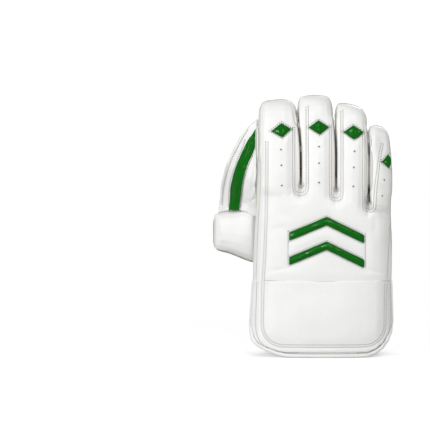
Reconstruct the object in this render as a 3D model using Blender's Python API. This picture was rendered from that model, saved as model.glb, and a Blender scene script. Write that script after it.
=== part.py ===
"""A wicketkeeping glove for the right hand, standing on the rim of its cuff.

Lengths are in metres, +Z is up. The fingers point up, the back of the hand faces -Y, the palm faces +Y and
the thumb points to -X. The origin is on the surface under the middle of the glove's box. The glove is built
as two halves, a leather back and a rubber palm, which meet on one parting surface that curls with the fingers.
"""

import math

import bmesh
import bpy
from mathutils import Matrix, Vector

# Driving sizes
HAND_WIDTH = 0.166
HAND_DEPTH = 0.056
HAND_AXIS_X = 0.0230
ROOT_HEIGHT = 0.2034
FINGER_LENGTH = 0.1073
FINGER_DEPTH = 0.038
FINGER_SLOT = 0.0016
FINGER_CAP = 0.017
FINGER_CROWN = 0.0018
FINGER_CURL = 0.017
PALM_ROOT_RISE = 0.038
PALM_CUP = 0.007
LEATHER_WALL = 0.003
RUBBER_WALL = 0.003
CUFF_HEIGHT = 0.0897
CUFF_DEPTH = 0.072
CUFF_WALL = 0.006
CUFF_CORNER_HEIGHT = 0.038
THUMB_LENGTH = 0.0535
THUMB_DEPTH = 0.040
THUMB_HEIGHT = 0.056
THUMB_RISE = 0.0545
THENAR_WIDTH = 0.060
THENAR_HEIGHT = 0.067
THENAR_CLEAR = 0.002
THENAR_SEAT = 0.0005
THENAR_UP = 0.80
THUMB_SINK = 0.003
WEB_WALL = 0.0022
WEB_HEIGHT = 0.111
WEB_CLEAR = 0.0018
WEB_TUCK = 0.013
WEB_BILLOW = 0.004
STRIPE_WIDTH = 0.0132
STRIPE_INSET = 0.0157
STRIPE_LIFT = 0.0010
STRIPE_ROWS = 14
STRIPE_SHORT = 0.0111
STRIPE_PROUD = 0.0022
PATCH_PROUD = 0.0028
DIAMOND_WIDTH = 0.0256
DIAMOND_HEIGHT = 0.0172
CHEVRON_WIDTH = 0.090
CHEVRON_RISE = 0.0205
CHEVRON_BAND = 0.0105
CHEVRON_PITCH = 0.0295
CHEVRON_UP = 0.6975
CHEVRON_SHIFT = 0.0042
CHEVRON_TILT = 0.0017
BINDING_WIDTH = 0.0078
BINDING_HEIGHT = 0.0046
FIT_GAP = 0.0003
STAND_BACK = 0.0104
BACK_VALLEY_FADE = 0.014
PALM_VALLEY_FADE = 0.034

# Roundness of the sections: 2 is an ellipse, more is boxier
HAND_ROUND = 2.7
FINGER_ROUND = 2.5
THUMB_ROUND = 2.3
CAP_ROUND = 2.2

# The palm's shallow hollow: its middle and half width as shares of HAND_WIDTH from the hand's axis, its middle
# as a share of the way up the hand, and its half height as a share of HAND_WIDTH
CUP_MIDDLE, CUP_HALF_WIDTH, CUP_UP, CUP_HALF_HEIGHT = 0.12, 0.22, 0.62, 0.26

# Height of a padded patent piece at its edges, a share of its full height, and how fast its edges round over
PATCH_EDGE = 0.3
PATCH_ROUNDING = 2.2

# Faces across one finger, the thumb and the cuff, and the rows up each stretch as shares of it
SLICES = 8
BACK_ROWS = (0.0, 0.18, 0.36, 0.54, 0.70, 0.82, 0.90, 0.955, 1.0)
PALM_ROWS = (0.0, 0.13, 0.26, 0.39, 0.52, 0.64, 0.74, 0.82, 0.89, 0.95, 1.0)
FREE_ROWS = (0.06, 0.22, 0.42, 0.62, 0.82, 1.0)
CAP_ROWS = (0.35, 0.65, 0.86, 0.96, 1.0)
WEB_ROWS = tuple(i / 10 for i in range(11))
WEB_ACROSS = (0.0, 0.15, 0.32, 0.5, 0.68, 0.85, 1.0)
CUFF_SLICES = 18
CUFF_ROWS = (0.0, 0.2, 0.4, 0.6, 0.8, 1.0)
CHEVRON_SLICES = 16

# Sections of the hand, from the cuff seam up to the finger roots
# up: share of the way; thumb_side, little_side: shares of HAND_WIDTH; back, palm: shares of HAND_DEPTH
HAND_COLUMNS = ("up", "thumb_side", "little_side", "back", "palm")
HAND_SECTIONS = (
    (0.00, 0.508, 0.497, 0.50, 0.46),
    (0.25, 0.504, 0.501, 0.49, 0.46),
    (0.60, 0.489, 0.488, 0.47, 0.46),
    (0.85, 0.479, 0.486, 0.43, 0.42),
    (1.00, 0.476, 0.499, 0.39, 0.38),
)

# Sections of the cuff, from its rim up to the cuff seam. flare: share of the way from the hand's depth to
# CUFF_DEPTH; thumb_bulge, little_bulge: shares of HAND_WIDTH beyond the hand's own edges
CUFF_COLUMNS = ("up", "flare", "thumb_bulge", "little_bulge")
CUFF_SECTIONS = (
    (0.00, 1.00, 0.019, 0.010),
    (0.45, 0.72, 0.019, 0.009),
    (1.00, 0.00, 0.000, 0.000),
)
CUFF_SHARES = {"back": 0.50, "palm": 0.48}
# How far the rounded corners reach in from each side, as shares of the half width
CUFF_CORNERS = {"thumb_side": 0.56, "little_side": 0.42}

# Finger edges as shares of HAND_WIDTH from the hand's axis, at the root, half way up and at the shoulder,
# and along the tip; tip heights as shares of FINGER_LENGTH above ROOT_HEIGHT;
# back and palm: shares of FINGER_DEPTH at the shoulder; turn: how far the finger's back faces outward
FINGER_COLUMNS = (
    "name", "root_left", "root_right", "half_left", "half_right", "shoulder_left", "shoulder_right",
    "tip_left", "tip_right", "tip_left_up", "tip_right_up", "back", "palm", "turn",
)
FINGERS = (
    ("index", -0.476, -0.161, -0.467, -0.161, -0.461, -0.187, -0.431, -0.244, 0.925, 0.945, 0.42, 0.34, 0.0),
    ("middle", -0.161, 0.0925, -0.161, 0.0925, -0.185, 0.070, -0.164, 0.034, 0.985, 0.985, 0.42, 0.34, 0.0),
    ("ring", 0.0925, 0.332, 0.0965, 0.332, 0.087, 0.317, 0.106, 0.268, 0.910, 0.865, 0.42, 0.34, 0.0),
    ("little", 0.332, 0.499, 0.332, 0.492, 0.324, 0.477, 0.338, 0.442, 0.665, 0.635, 0.40, 0.33, 0.35),
)

# Drop of each root line below ROOT_HEIGHT as a share of FINGER_LENGTH: thumb side, three slots, little side
BACK_ROOT_DROPS = (0.0, 0.0, 0.045, 0.190, 0.190)
PALM_ROOT_DROPS = (0.0, 0.0, 0.0, 0.05, 0.05)

# Sections of the thumb from the palm to the tip, each in a plane that turns about the thumb's root.
# turn: degrees from facing the palm to facing the thumb's end; along: share of THUMB_LENGTH past the root;
# out: the middle's share of THUMB_DEPTH from the root; depth, height: shares of THUMB_DEPTH and THUMB_HEIGHT;
# up: the middle's height over the cuff seam, a share of THUMB_RISE
THUMB_COLUMNS = ("turn", "along", "out", "depth", "height", "up")
THUMB_SECTIONS = (
    (22.0, 0.00, 0.760, 1.52, 1.18, 0.84),
    (45.0, 0.00, 0.680, 1.36, 1.13, 0.90),
    (68.0, 0.00, 0.570, 1.14, 1.08, 0.95),
    (90.0, 0.05, 0.500, 1.00, 1.03, 0.97),
    (90.0, 0.38, 0.500, 0.96, 0.95, 1.00),
    (90.0, 0.66, 0.495, 0.90, 0.88, 1.01),
    (90.0, 0.84, 0.490, 0.76, 0.83, 1.01),
    (90.0, 0.95, 0.485, 0.48, 0.77, 1.01),
    (90.0, 1.00, 0.480, 0.00, 0.68, 1.01),
)
# The thumb's root as shares of HAND_WIDTH from the hand's axis and of HAND_DEPTH in front of the parting
THUMB_ROOT = (-0.466, 0.27)

# The web's free edge, from the thumb up to the index finger: up, a share of WEB_HEIGHT, and reach, a share
# of THUMB_LENGTH out from the finger's side
WEB_COLUMNS = ("up", "reach")
WEB_EDGE = (
    (0.00, 0.89),
    (0.16, 0.86),
    (0.32, 0.82),
    (0.48, 0.74),
    (0.64, 0.59),
    (0.80, 0.39),
    (0.92, 0.18),
    (1.00, 0.03),
)

# The diamonds on the finger backs. up: share of FINGER_LENGTH above the highest root; around: degrees from the
# middle of the finger's back to its side; tilt: rise of the outer point, a share of its width; reach: how much
# of the outer half shows, since the little finger's is cut by its side seam
DIAMOND_COLUMNS = ("name", "up", "around", "tilt", "reach")
DIAMONDS = (
    ("diamond_index", 0.630, 9.0, 0.10, 1.0),
    ("diamond_middle", 0.660, 8.0, 0.01, 1.0),
    ("diamond_ring", 0.606, 7.0, -0.02, 1.0),
    ("diamond_little", 0.283, 58.0, 0.00, 0.25),
)

LEATHER_WHITE = (0.86, 0.86, 0.84, 1.0)
RUBBER_GREY = (0.62, 0.68, 0.64, 1.0)
PATENT_GREEN = (0.0, 0.20, 0.01, 1.0)


def clear_scene():
    for found in list(bpy.data.objects):
        bpy.data.objects.remove(found, do_unlink=True)


def material(name, colour, roughness):
    made = bpy.data.materials.new(name)
    made.use_nodes = True
    shader = made.node_tree.nodes["Principled BSDF"]
    shader.inputs["Base Color"].default_value = colour
    shader.inputs["Roughness"].default_value = roughness
    return made


def mix(low, high, share):
    return low + (high - low) * share


def ease(share):
    """A smooth step from 0 to 1."""
    held = min(1.0, max(0.0, share))
    return held * held * (3.0 - 2.0 * held)


def arch(share, roundness):
    """Height of a unit superellipse arch at share, which runs from -1 to 1."""
    return max(0.0, 1.0 - abs(share) ** roundness) ** (1.0 / roundness)


def read(sections, columns, column, at, along=0):
    """Smoothly read one column of a section table at a place along another column."""
    value = columns.index(column)
    last = len(sections) - 1
    at = min(sections[last][along], max(sections[0][along], at))
    i = max(0, min(last - 1, sum(1 for row in sections if row[along] <= at) - 1))
    before, low, high, after = (sections[max(0, min(last, k))] for k in (i - 1, i, i + 1, i + 2))
    span = high[along] - low[along]
    share = (at - low[along]) / span
    rise_low = (high[value] - before[value]) / (high[along] - before[along]) * span
    rise_high = (after[value] - low[value]) / (after[along] - low[along]) * span
    s2, s3 = share * share, share * share * share
    return (
        (2 * s3 - 3 * s2 + 1) * low[value]
        + (s3 - 2 * s2 + share) * rise_low
        + (3 * s2 - 2 * s3) * high[value]
        + (s3 - s2) * rise_high
    )


def hand_value(column, z):
    up = (z - CUFF_HEIGHT) / (ROOT_HEIGHT - CUFF_HEIGHT)
    return read(HAND_SECTIONS, HAND_COLUMNS, column, up)


def finger_value(finger, column):
    return FINGERS[finger][FINGER_COLUMNS.index(column)]


def parting(z):
    """Y of the surface where the back and the palm meet: it curls forward along the fingers."""
    up = max(0.0, (z - ROOT_HEIGHT) / FINGER_LENGTH)
    return FINGER_CURL * up * up


def hand_edge(share, z):
    """X of a place across the hand, given as its share of HAND_WIDTH at the finger roots."""
    side = "thumb_side" if share < 0 else "little_side"
    spread = hand_value(side, z) / HAND_SECTIONS[-1][HAND_COLUMNS.index(side)]
    return HAND_AXIS_X + share * HAND_WIDTH * spread


def shoulder_height(finger, share):
    """Height where the finger's cap starts, at a place from -1 to 1 across it."""
    return tip_height(finger, share) - FINGER_CAP


def tip_height(finger, share):
    left = finger_value(finger, "tip_left_up")
    right = finger_value(finger, "tip_right_up")
    crown = FINGER_CROWN * (1.0 - share * share)
    return ROOT_HEIGHT + FINGER_LENGTH * mix(left, right, (share + 1.0) / 2.0) + crown


def finger_edge(finger, side, z):
    """X of a finger's left or right edge, with half a slot taken off where it stands free."""
    root = finger_value(finger, "root_" + side)
    if z <= ROOT_HEIGHT:
        edge = hand_edge(root, z)
    else:
        up = (z - ROOT_HEIGHT) / (shoulder_height(finger, 0.0) - ROOT_HEIGHT)
        levels = [(0.0, root), (0.5, finger_value(finger, "half_" + side))]
        levels.append((1.0, finger_value(finger, "shoulder_" + side)))
        edge = HAND_AXIS_X + HAND_WIDTH * read(levels, ("up", "x"), "x", up)
    outer = (side == "left" and finger == 0) or (side == "right" and finger == len(FINGERS) - 1)
    if outer:
        return edge
    return edge + (FINGER_SLOT / 2 if side == "left" else -FINGER_SLOT / 2)


def crown_depth(finger, face, z):
    """How far the middle of the hand or finger stands out from the parting surface."""
    root = HAND_DEPTH * HAND_SECTIONS[-1][HAND_COLUMNS.index(face)]
    if z <= ROOT_HEIGHT:
        return HAND_DEPTH * hand_value(face, z)
    up = (z - ROOT_HEIGHT) / (shoulder_height(finger, 0.0) - ROOT_HEIGHT)
    return mix(root, FINGER_DEPTH * finger_value(finger, face), ease(up))


def cup(x, z):
    """The palm's shallow hollow between the thumb's mound and the little finger's side."""
    across = (x - HAND_AXIS_X - HAND_WIDTH * CUP_MIDDLE) / (HAND_WIDTH * CUP_HALF_WIDTH)
    up = (z - mix(CUFF_HEIGHT, ROOT_HEIGHT, CUP_UP)) / (HAND_WIDTH * CUP_HALF_HEIGHT)
    return PALM_CUP * math.exp(-across * across - up * up)


def hand_profile(x, z):
    side = "thumb_side" if x < HAND_AXIS_X else "little_side"
    half = HAND_WIDTH * hand_value(side, z)
    return arch(min(1.0, abs(x - HAND_AXIS_X) / half), HAND_ROUND)


def finger_profile(finger, face, share):
    turn = finger_value(finger, "turn") * (-1.0 if face == "back" else 1.0)
    return arch(share, FINGER_ROUND) * (1.0 + turn * share * (1.0 - share * share))


def root_line(finger, face, share):
    """Height of the finger roots at a place from -1 to 1 across one finger."""
    drops = BACK_ROOT_DROPS if face == "back" else PALM_ROOT_DROPS
    rise = 0.0 if face == "back" else PALM_ROOT_RISE
    drop = mix(drops[finger], drops[finger + 1], (share + 1.0) / 2.0)
    return ROOT_HEIGHT + rise - FINGER_LENGTH * drop


def body_depth(finger, face, share, x, z):
    """Distance of the glove's outside from the parting surface, below the fingers' caps."""
    fade = BACK_VALLEY_FADE if face == "back" else PALM_VALLEY_FADE
    crotch = root_line(finger, face, share)
    valley = ease((z - crotch + fade) / fade)
    profile = mix(hand_profile(x, z), finger_profile(finger, face, share), valley)
    depth = crown_depth(finger, face, z) * profile
    if face == "palm":
        depth -= cup(x, z) * hand_profile(x, z) * (1.0 - valley)
    return depth


def back_surface(finger, x, z):
    """Y of the leather back at a place on the hand or on one finger."""
    left = finger_edge(finger, "left", z)
    right = finger_edge(finger, "right", z)
    share = max(-1.0, min(1.0, (2 * x - left - right) / (right - left)))
    return parting(z) - body_depth(finger, "back", share, x, z)


def palm_surface(x, z):
    """Y of the palm's outside below the finger roots."""
    depth = HAND_DEPTH * hand_value("palm", z) - cup(x, z)
    return parting(z) + FIT_GAP + depth * hand_profile(x, z)


def sheet(grids, outward):
    """A mesh through grids of points, with equal points joined; outward turns its faces' order."""
    bm = bmesh.new()
    for rows in grids:
        grid = [[bm.verts.new(point) for point in row] for row in rows]
        for low, high in zip(grid, grid[1:]):
            for a, b, c, d in zip(low, low[1:], high[1:], high):
                bm.faces.new((a, b, c, d) if outward else (d, c, b, a))
    bmesh.ops.remove_doubles(bm, verts=bm.verts, dist=1e-6)
    bmesh.ops.dissolve_degenerate(bm, edges=bm.edges, dist=1e-6)
    bm.normal_update()
    return bm


def walled(name, bm, wall, rim_normal, finish):
    """Give an open sheet a wall on its inner side. rim_normal squares the outward direction at a rim point."""
    inward = {}
    for vert in bm.verts:
        normal = rim_normal(vert.co, vert.normal) if vert.is_boundary else vert.normal
        inward[vert] = vert.co - normal * wall
    outer_faces = list(bm.faces)
    rim = [edge for edge in bm.edges if edge.is_boundary]
    inner = {vert: bm.verts.new(point) for vert, point in inward.items()}
    for face in outer_faces:
        bm.faces.new([inner[vert] for vert in reversed(face.verts)])
    for edge in rim:
        loop = edge.link_loops[0]
        first, second = loop.vert, loop.link_loop_next.vert
        bm.faces.new((second, first, inner[first], inner[second]))
    mesh = bpy.data.meshes.new(name)
    bm.to_mesh(mesh)
    bm.free()
    return add_object(name, mesh, finish)


def add_object(name, mesh, finish):
    mesh.shade_smooth()
    made = bpy.data.objects.new(name, mesh)
    bpy.context.collection.objects.link(made)
    mesh.materials.append(finish)
    return made


def squared(normal, facings):
    """An outward direction turned square to the directions that its rim faces."""
    for facing in facings:
        normal = normal - normal.project(facing)
    return normal.normalized()


def parting_normal(z):
    up = max(0.0, (z - ROOT_HEIGHT) / FINGER_LENGTH)
    return Vector((0.0, 1.0, -2.0 * FINGER_CURL * up / FINGER_LENGTH)).normalized()


def glove_rim(point, normal):
    """The rims of the glove's halves face the parting surface, and their feet face the cuff."""
    facing = []
    if abs(point.y - parting(point.z)) < RUBBER_WALL:
        facing.append(parting_normal(point.z))
    if point.z < CUFF_HEIGHT + FIT_GAP:
        facing.append(Vector((0.0, 0.0, 1.0)))
    return squared(normal, facing)


def finger_grid(finger, face):
    """Rows of points over one finger and the strip of hand below it, from the cuff seam to the tip."""
    sign = -1.0 if face == "back" else 1.0
    foot = CUFF_HEIGHT
    shares = [math.sin(math.pi * (j / SLICES - 0.5)) for j in range(SLICES + 1)]
    rows = []
    for up in BACK_ROWS if face == "back" else PALM_ROWS:
        rows.append([hand_point(finger, face, share, up, foot) for share in shares])
    for up in FREE_ROWS:
        row = []
        for share in shares:
            z = mix(root_line(finger, face, share), shoulder_height(finger, share), up)
            left, right = finger_edge(finger, "left", z), finger_edge(finger, "right", z)
            depth = crown_depth(finger, face, z) * finger_profile(finger, face, share)
            row.append((mix(left, right, (share + 1) / 2), shell_y(sign, z, depth), z))
        rows.append(row)
    for up in CAP_ROWS:
        rows.append([cap_point(finger, face, share, up) for share in shares])
    return rows


def shell_y(sign, z, depth):
    return parting(z) + sign * depth + (FIT_GAP if sign > 0 else 0.0)


def hand_point(finger, face, share, up, foot):
    """A point below the finger roots; neighbouring fingers share the points on their common edge."""
    sign = -1.0 if face == "back" else 1.0
    z = mix(foot, root_line(finger, face, share), up)
    left, right = finger_edge(finger, "left", z), finger_edge(finger, "right", z)
    x = mix(left, right, (share + 1) / 2)
    if share < -0.999 and finger > 0:
        x -= FINGER_SLOT / 2
    if share > 0.999 and finger < len(FINGERS) - 1:
        x += FINGER_SLOT / 2
    depth = body_depth(finger, face, share, x, z)
    inner_edge = abs(share) > 0.999 and abs(x - HAND_AXIS_X) < HAND_WIDTH * 0.45
    if face == "palm" and inner_edge:
        depth = max(depth, RUBBER_WALL + 2 * FIT_GAP)
    return (x, shell_y(sign, z, depth), z)


def cap_point(finger, face, share, up):
    """A point on the rounded cap over the fingertip, which ends in a line along the parting surface."""
    sign = -1.0 if face == "back" else 1.0
    base = shoulder_height(finger, share)
    z = mix(base, tip_height(finger, share), up)
    narrow = up ** 3
    low, high = finger_edge(finger, "left", base), finger_edge(finger, "right", base)
    left = mix(low, HAND_AXIS_X + HAND_WIDTH * finger_value(finger, "tip_left"), narrow)
    right = mix(high, HAND_AXIS_X + HAND_WIDTH * finger_value(finger, "tip_right"), narrow)
    depth = crown_depth(finger, face, base) * finger_profile(finger, face, share) * arch(up, CAP_ROUND)
    return (mix(left, right, (share + 1) / 2), shell_y(sign, z, depth), z)


def half_glove(name, face, finish, wall):
    """One half of the glove: the hand and four fingers as one sheet of leather or rubber."""
    grids = [finger_grid(finger, face) for finger in range(len(FINGERS))]
    return walled(name, sheet(grids, face == "back"), wall, glove_rim, finish)


def thumb_root():
    return Vector((HAND_AXIS_X + THUMB_ROOT[0] * HAND_WIDTH, THUMB_ROOT[1] * HAND_DEPTH, 0.0))


def thumb_value(column, along):
    straight = [row for row in THUMB_SECTIONS if row[0] == 90.0]
    return read(straight, THUMB_COLUMNS, column, along, along=1)


def thumb_middle(up):
    return CUFF_HEIGHT + THUMB_RISE * up


def thumb_half(name, side, palm_form, finish, wall):
    """Half of the thumb: side 1 is its rubber front with the mound, side -1 its leather back."""
    root = thumb_root()
    gap = 2 * FIT_GAP if side > 0 else 0.0
    shares = [math.sin(math.pi * (j / SLICES - 0.5)) for j in range(SLICES + 1)]
    foot = []
    for share in shares:
        x = root.x + THENAR_WIDTH / 2 + side * THENAR_WIDTH / 2 * arch(share, THUMB_ROUND) + gap
        z = thumb_middle(THENAR_UP) + THENAR_HEIGHT / 2 * share
        foot.append((x, palm_surface(x, z) - THUMB_SINK, z))
    rows = [foot]
    for turn, along, out, depth, height, up in THUMB_SECTIONS:
        facing = Vector((math.cos(math.radians(turn)), math.sin(math.radians(turn)), 0.0))
        middle = root + facing * (THUMB_DEPTH * out + gap) - Vector((THUMB_LENGTH * along, 0.0, 0.0))
        row = []
        for share in shares:
            point = middle + facing * (side * THUMB_DEPTH / 2 * depth * arch(share, THUMB_ROUND))
            row.append((point.x, point.y, thumb_middle(up) + THUMB_HEIGHT / 2 * height * share))
        rows.append(row)
    made = walled(name, sheet([rows], side < 0), wall, thumb_rim, finish)
    cut = made.modifiers.new("seat", "BOOLEAN")
    cut.operation = "DIFFERENCE"
    cut.object = palm_form
    return made


def thumb_rim(point, normal):
    """The thumb's rims face its other half, and its foot faces the palm."""
    root = thumb_root()
    if abs(point.y - palm_surface(point.x, point.z) + THUMB_SINK) < FIT_GAP:
        facing = [Vector((0.0, 1.0, 0.0))]
        if abs(point.z - thumb_middle(THENAR_UP)) > THENAR_HEIGHT * 0.49:
            facing.append(Vector((1.0, 0.0, 0.0)))
        return squared(normal, facing)
    turn = math.atan2(point.y - root.y, point.x - root.x) if point.x > root.x else math.pi / 2
    return squared(normal, [Vector((math.cos(turn), math.sin(turn), 0.0))])


def hide_cutter(cutter):
    cutter.hide_render = True
    cutter.display_type = "WIRE"


def palm_block():
    """The room that the palm takes, with the fit gap over it, to seat the thumb on."""
    rows = []
    for i, _ in enumerate(PALM_ROWS):
        row = finger_grid(0, "palm")[i]
        for finger in range(1, len(FINGERS)):
            row = row + finger_grid(finger, "palm")[i][1:]
        rows.append(row)
    guide = pad("palm_guide", rows, False, 0.0, [[THENAR_SEAT] * len(row) for row in rows], None)
    count = len(rows) * len(rows[0])
    top = [guide.data.vertices[i].co.copy() for i in range(count)]
    bpy.data.objects.remove(guide, do_unlink=True)
    width = len(rows[0])
    upper = [top[i * width:(i + 1) * width] for i in range(len(rows))]
    under = [[Vector((point.x, -HAND_DEPTH * 0.1, point.z)) for point in row] for row in upper]
    block = close_pad("palm_block", upper, under, False, None)
    hide_cutter(block)
    return block


def cut_thumb_hole(palm):
    """Open the palm into the thumb, inside the foot of the thumb's wall."""
    reach = RUBBER_WALL + THENAR_CLEAR
    hole = bpy.data.meshes.new("thumb_hole")
    bm = bmesh.new()
    bmesh.ops.create_cone(
        bm, cap_ends=True, segments=24, radius1=1.0, radius2=1.0, depth=HAND_DEPTH,
    )
    bmesh.ops.scale(bm, vec=(THENAR_WIDTH / 2 - reach, THENAR_HEIGHT / 2 - reach, 1.0), verts=bm.verts)
    turn = Matrix.Rotation(math.pi / 2, 3, "X")
    bmesh.ops.rotate(bm, matrix=turn, verts=bm.verts)
    bm.to_mesh(hole)
    bm.free()
    cutter = bpy.data.objects.new("thumb_hole", hole)
    bpy.context.collection.objects.link(cutter)
    root = thumb_root()
    cutter.location = (root.x + THENAR_WIDTH / 2, HAND_DEPTH / 2 + 2 * FIT_GAP, thumb_middle(THENAR_UP))
    hide_cutter(cutter)
    cut = palm.modifiers.new("thumb_hole", "BOOLEAN")
    cut.operation = "DIFFERENCE"
    cut.object = cutter


def pad(name, rows, outward, lift, heights, finish):
    """A closed pad over a grid of points: its underside stands off by lift, its top by lift and its height."""
    guide = sheet([rows], outward)
    normals = {tuple(round(c, 6) for c in vert.co): vert.normal.copy() for vert in guide.verts}
    guide.free()
    top, under = [], []
    for row, tall in zip(rows, heights):
        points = [(Vector(point), normals[tuple(round(c, 6) for c in Vector(point))]) for point in row]
        under.append([point + normal * lift for point, normal in points])
        top.append([point + normal * (lift + high) for (point, normal), high in zip(points, tall)])
    return close_pad(name, top, under, outward, finish)


def close_pad(name, top, under, outward, finish):
    bm = bmesh.new()
    upper = [[bm.verts.new(point) for point in row] for row in top]
    lower = [[bm.verts.new(point) for point in row] for row in under]
    for grid, facing in ((upper, outward), (lower, not outward)):
        for low, high in zip(grid, grid[1:]):
            for a, b, c, d in zip(low, low[1:], high[1:], high):
                bm.faces.new((a, b, c, d) if facing else (d, c, b, a))
    for u, v in zip(outline(upper), outline(lower)):
        corners = (u[1], u[0], v[0], v[1])
        bm.faces.new(corners if outward else corners[::-1])
    mesh = bpy.data.meshes.new(name)
    bm.to_mesh(mesh)
    bm.free()
    return add_object(name, mesh, finish)


def outline(grid):
    """The edges round a grid, as pairs of points in the order that runs round it."""
    loop = list(grid[0]) + [row[-1] for row in grid[1:]]
    loop += list(reversed(grid[-1][:-1])) + [row[0] for row in reversed(grid[1:-1])]
    return list(zip(loop, loop[1:] + loop[:1]))


def web_reach(up, z):
    """X of the web's free edge."""
    return finger_edge(0, "left", z) - THUMB_LENGTH * read(WEB_EDGE, WEB_COLUMNS, "reach", up)


def web_inner(up, z):
    """X and Y of the web's edge at the hand: behind the hand's side below, at the finger's seam above."""
    depth = WEB_TUCK * (1.0 - ease(up * 2.2))
    crown = HAND_DEPTH * hand_value("palm", min(z, ROOT_HEIGHT))
    across = arch(min(1.0, depth / crown), HAND_ROUND)
    side = finger_edge(0, "left", z)
    x = HAND_AXIS_X + (side - HAND_AXIS_X) * across - WEB_CLEAR
    return x, parting(z) + depth + WEB_WALL * 2 * min(1.0, depth / WEB_WALL / 4)


def web_foot(x, y):
    """Height of the web's lower edge, which follows the top of the thumb."""
    root = thumb_root()
    along = min(0.84, max(0.05, (root.x - x) / THUMB_LENGTH))
    half = THUMB_DEPTH / 2 * thumb_value("depth", along)
    middle = root.y + THUMB_DEPTH * thumb_value("out", along)
    tall = THUMB_HEIGHT / 2 * thumb_value("height", along)
    return thumb_middle(thumb_value("up", along)) + tall * arch(min(0.8, abs(y - middle) / half), THUMB_ROUND)


def web_point(across, up):
    """A point of the web's middle surface: across runs from its free edge to the hand."""
    top = CUFF_HEIGHT + THUMB_RISE + THUMB_HEIGHT / 2 + WEB_HEIGHT
    root = thumb_root()
    guess = mix(top - WEB_HEIGHT, top, up)
    outer_x = web_reach(up, guess)
    inner_x, inner_y = web_inner(up, guess)
    outer_y = mix(root.y + THUMB_DEPTH * 0.48, parting(guess), ease(up))
    x = mix(outer_x, inner_x, across)
    y = mix(outer_y, inner_y, ease(across)) + WEB_BILLOW * 4 * across * (1 - across) * (1 - up)
    foot = web_foot(x, y) + WEB_CLEAR
    return (x, y, mix(foot, top, up))


def web_half(name, facing_back, finish):
    rows = [[web_point(across, up) for across in WEB_ACROSS] for up in WEB_ROWS]
    heights = [[WEB_WALL] * len(WEB_ACROSS) for _ in WEB_ROWS]
    return pad(name, rows, facing_back, 2 * FIT_GAP, heights, finish)


def web_stripe(finish):
    """The padded patent strip that follows the web's free edge on its back."""
    rows, heights = [], []
    top = 1.0 - STRIPE_SHORT / WEB_HEIGHT
    for i in range(STRIPE_ROWS + 1):
        up = top * i / STRIPE_ROWS
        free, hand = web_point(0.0, up)[0], web_point(1.0, up)[0]
        start = min(1.0, (STRIPE_INSET * (1 - 0.25 * up)) / (hand - free))
        end = min(0.97, start + STRIPE_WIDTH / (hand - free))
        rows.append([web_point(mix(start, end, k / 4), up) for k in range(5)])
        heights.append([STRIPE_PROUD * puff for puff in (0.35, 0.85, 1.0, 0.85, 0.35)])
    return pad("web_stripe", rows, True, WEB_WALL + 2 * FIT_GAP + STRIPE_LIFT, heights, finish)


def diamond(finger, finish):
    """A padded patent diamond on the back of one finger."""
    name, up, around, tilt, reach = DIAMONDS[finger]
    height = ROOT_HEIGHT + FINGER_LENGTH * up
    rows, heights = [], []
    for i in range(9):
        along = -1.0 + (1.0 + reach) * i / 8
        half = max(DIAMOND_HEIGHT / 2 * (1.0 - abs(along)), FIT_GAP)
        row, tall = [], []
        for k in range(5):
            across = k / 2 - 1
            z = height + half * across + DIAMOND_WIDTH / 2 * tilt * along
            row.append(finger_back(finger, math.radians(around), DIAMOND_WIDTH / 2 * along, z))
            inside = max(0.0, (1.0 - abs(along)) * min(1.0, 2.0 * (1.0 - abs(across))))
            rounded = math.sqrt(min(1.0, PATCH_ROUNDING * inside))
            tall.append(PATCH_PROUD * mix(PATCH_EDGE, 1.0, rounded))
        rows.append(row)
        heights.append(tall)
    return pad(name, rows, False, FIT_GAP * 1.5, heights, finish)


def finger_back(finger, around, offset, z):
    """A point on a finger's back, at an angle round it and then an arc's length further round."""
    left, right = finger_edge(finger, "left", z), finger_edge(finger, "right", z)
    half = (right - left) / 2
    angle = min(math.radians(86.0), around + offset / half)
    share = math.sin(angle)
    depth = crown_depth(finger, "back", z) * finger_profile(finger, "back", share)
    return (mix(left, right, (share + 1) / 2), parting(z) - depth, z)


def chevron(name, drop, finish):
    """A padded patent chevron across the back of the hand, a drop below the upper one's place."""
    top = mix(CUFF_HEIGHT, ROOT_HEIGHT, CHEVRON_UP) - drop
    rows, heights = [], []
    for k, puff in enumerate((PATCH_EDGE, 0.9, 1.0, 0.9, PATCH_EDGE)):
        row = []
        for i in range(CHEVRON_SLICES + 1):
            along = 2 * i / CHEVRON_SLICES - 1
            x = HAND_AXIS_X + CHEVRON_SHIFT + CHEVRON_WIDTH / 2 * along
            z = top - CHEVRON_RISE * abs(along) - CHEVRON_TILT * along - CHEVRON_BAND * (1 - k / 4)
            row.append((x, back_surface(1, x, z), z))
        rows.append(row)
        ends = [PATCH_EDGE if i in (0, CHEVRON_SLICES) else 1.0 for i in range(CHEVRON_SLICES + 1)]
        heights.append([PATCH_PROUD * puff * end for end in ends])
    return pad(name, rows, True, FIT_GAP * 1.5, heights, finish)


def cuff_value(column, z):
    return read(CUFF_SECTIONS, CUFF_COLUMNS, column, z / CUFF_HEIGHT)


def cuff_point(face, share, z):
    """A point on the cuff's outside, from the thumb side at -1 to the little finger's side at 1."""
    sign = -1.0 if face == "back" else 1.0
    side, bulge = ("thumb_side", "thumb_bulge") if share < 0 else ("little_side", "little_bulge")
    half = HAND_WIDTH * (hand_value(side, CUFF_HEIGHT) + cuff_value(bulge, z))
    rim_depth = CUFF_DEPTH * CUFF_SHARES[face]
    depth = mix(HAND_DEPTH * hand_value(face, CUFF_HEIGHT), rim_depth, cuff_value("flare", z))
    return Vector((HAND_AXIS_X + half * share, sign * (FIT_GAP / 2 + depth * arch(share, HAND_ROUND)), z))


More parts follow.
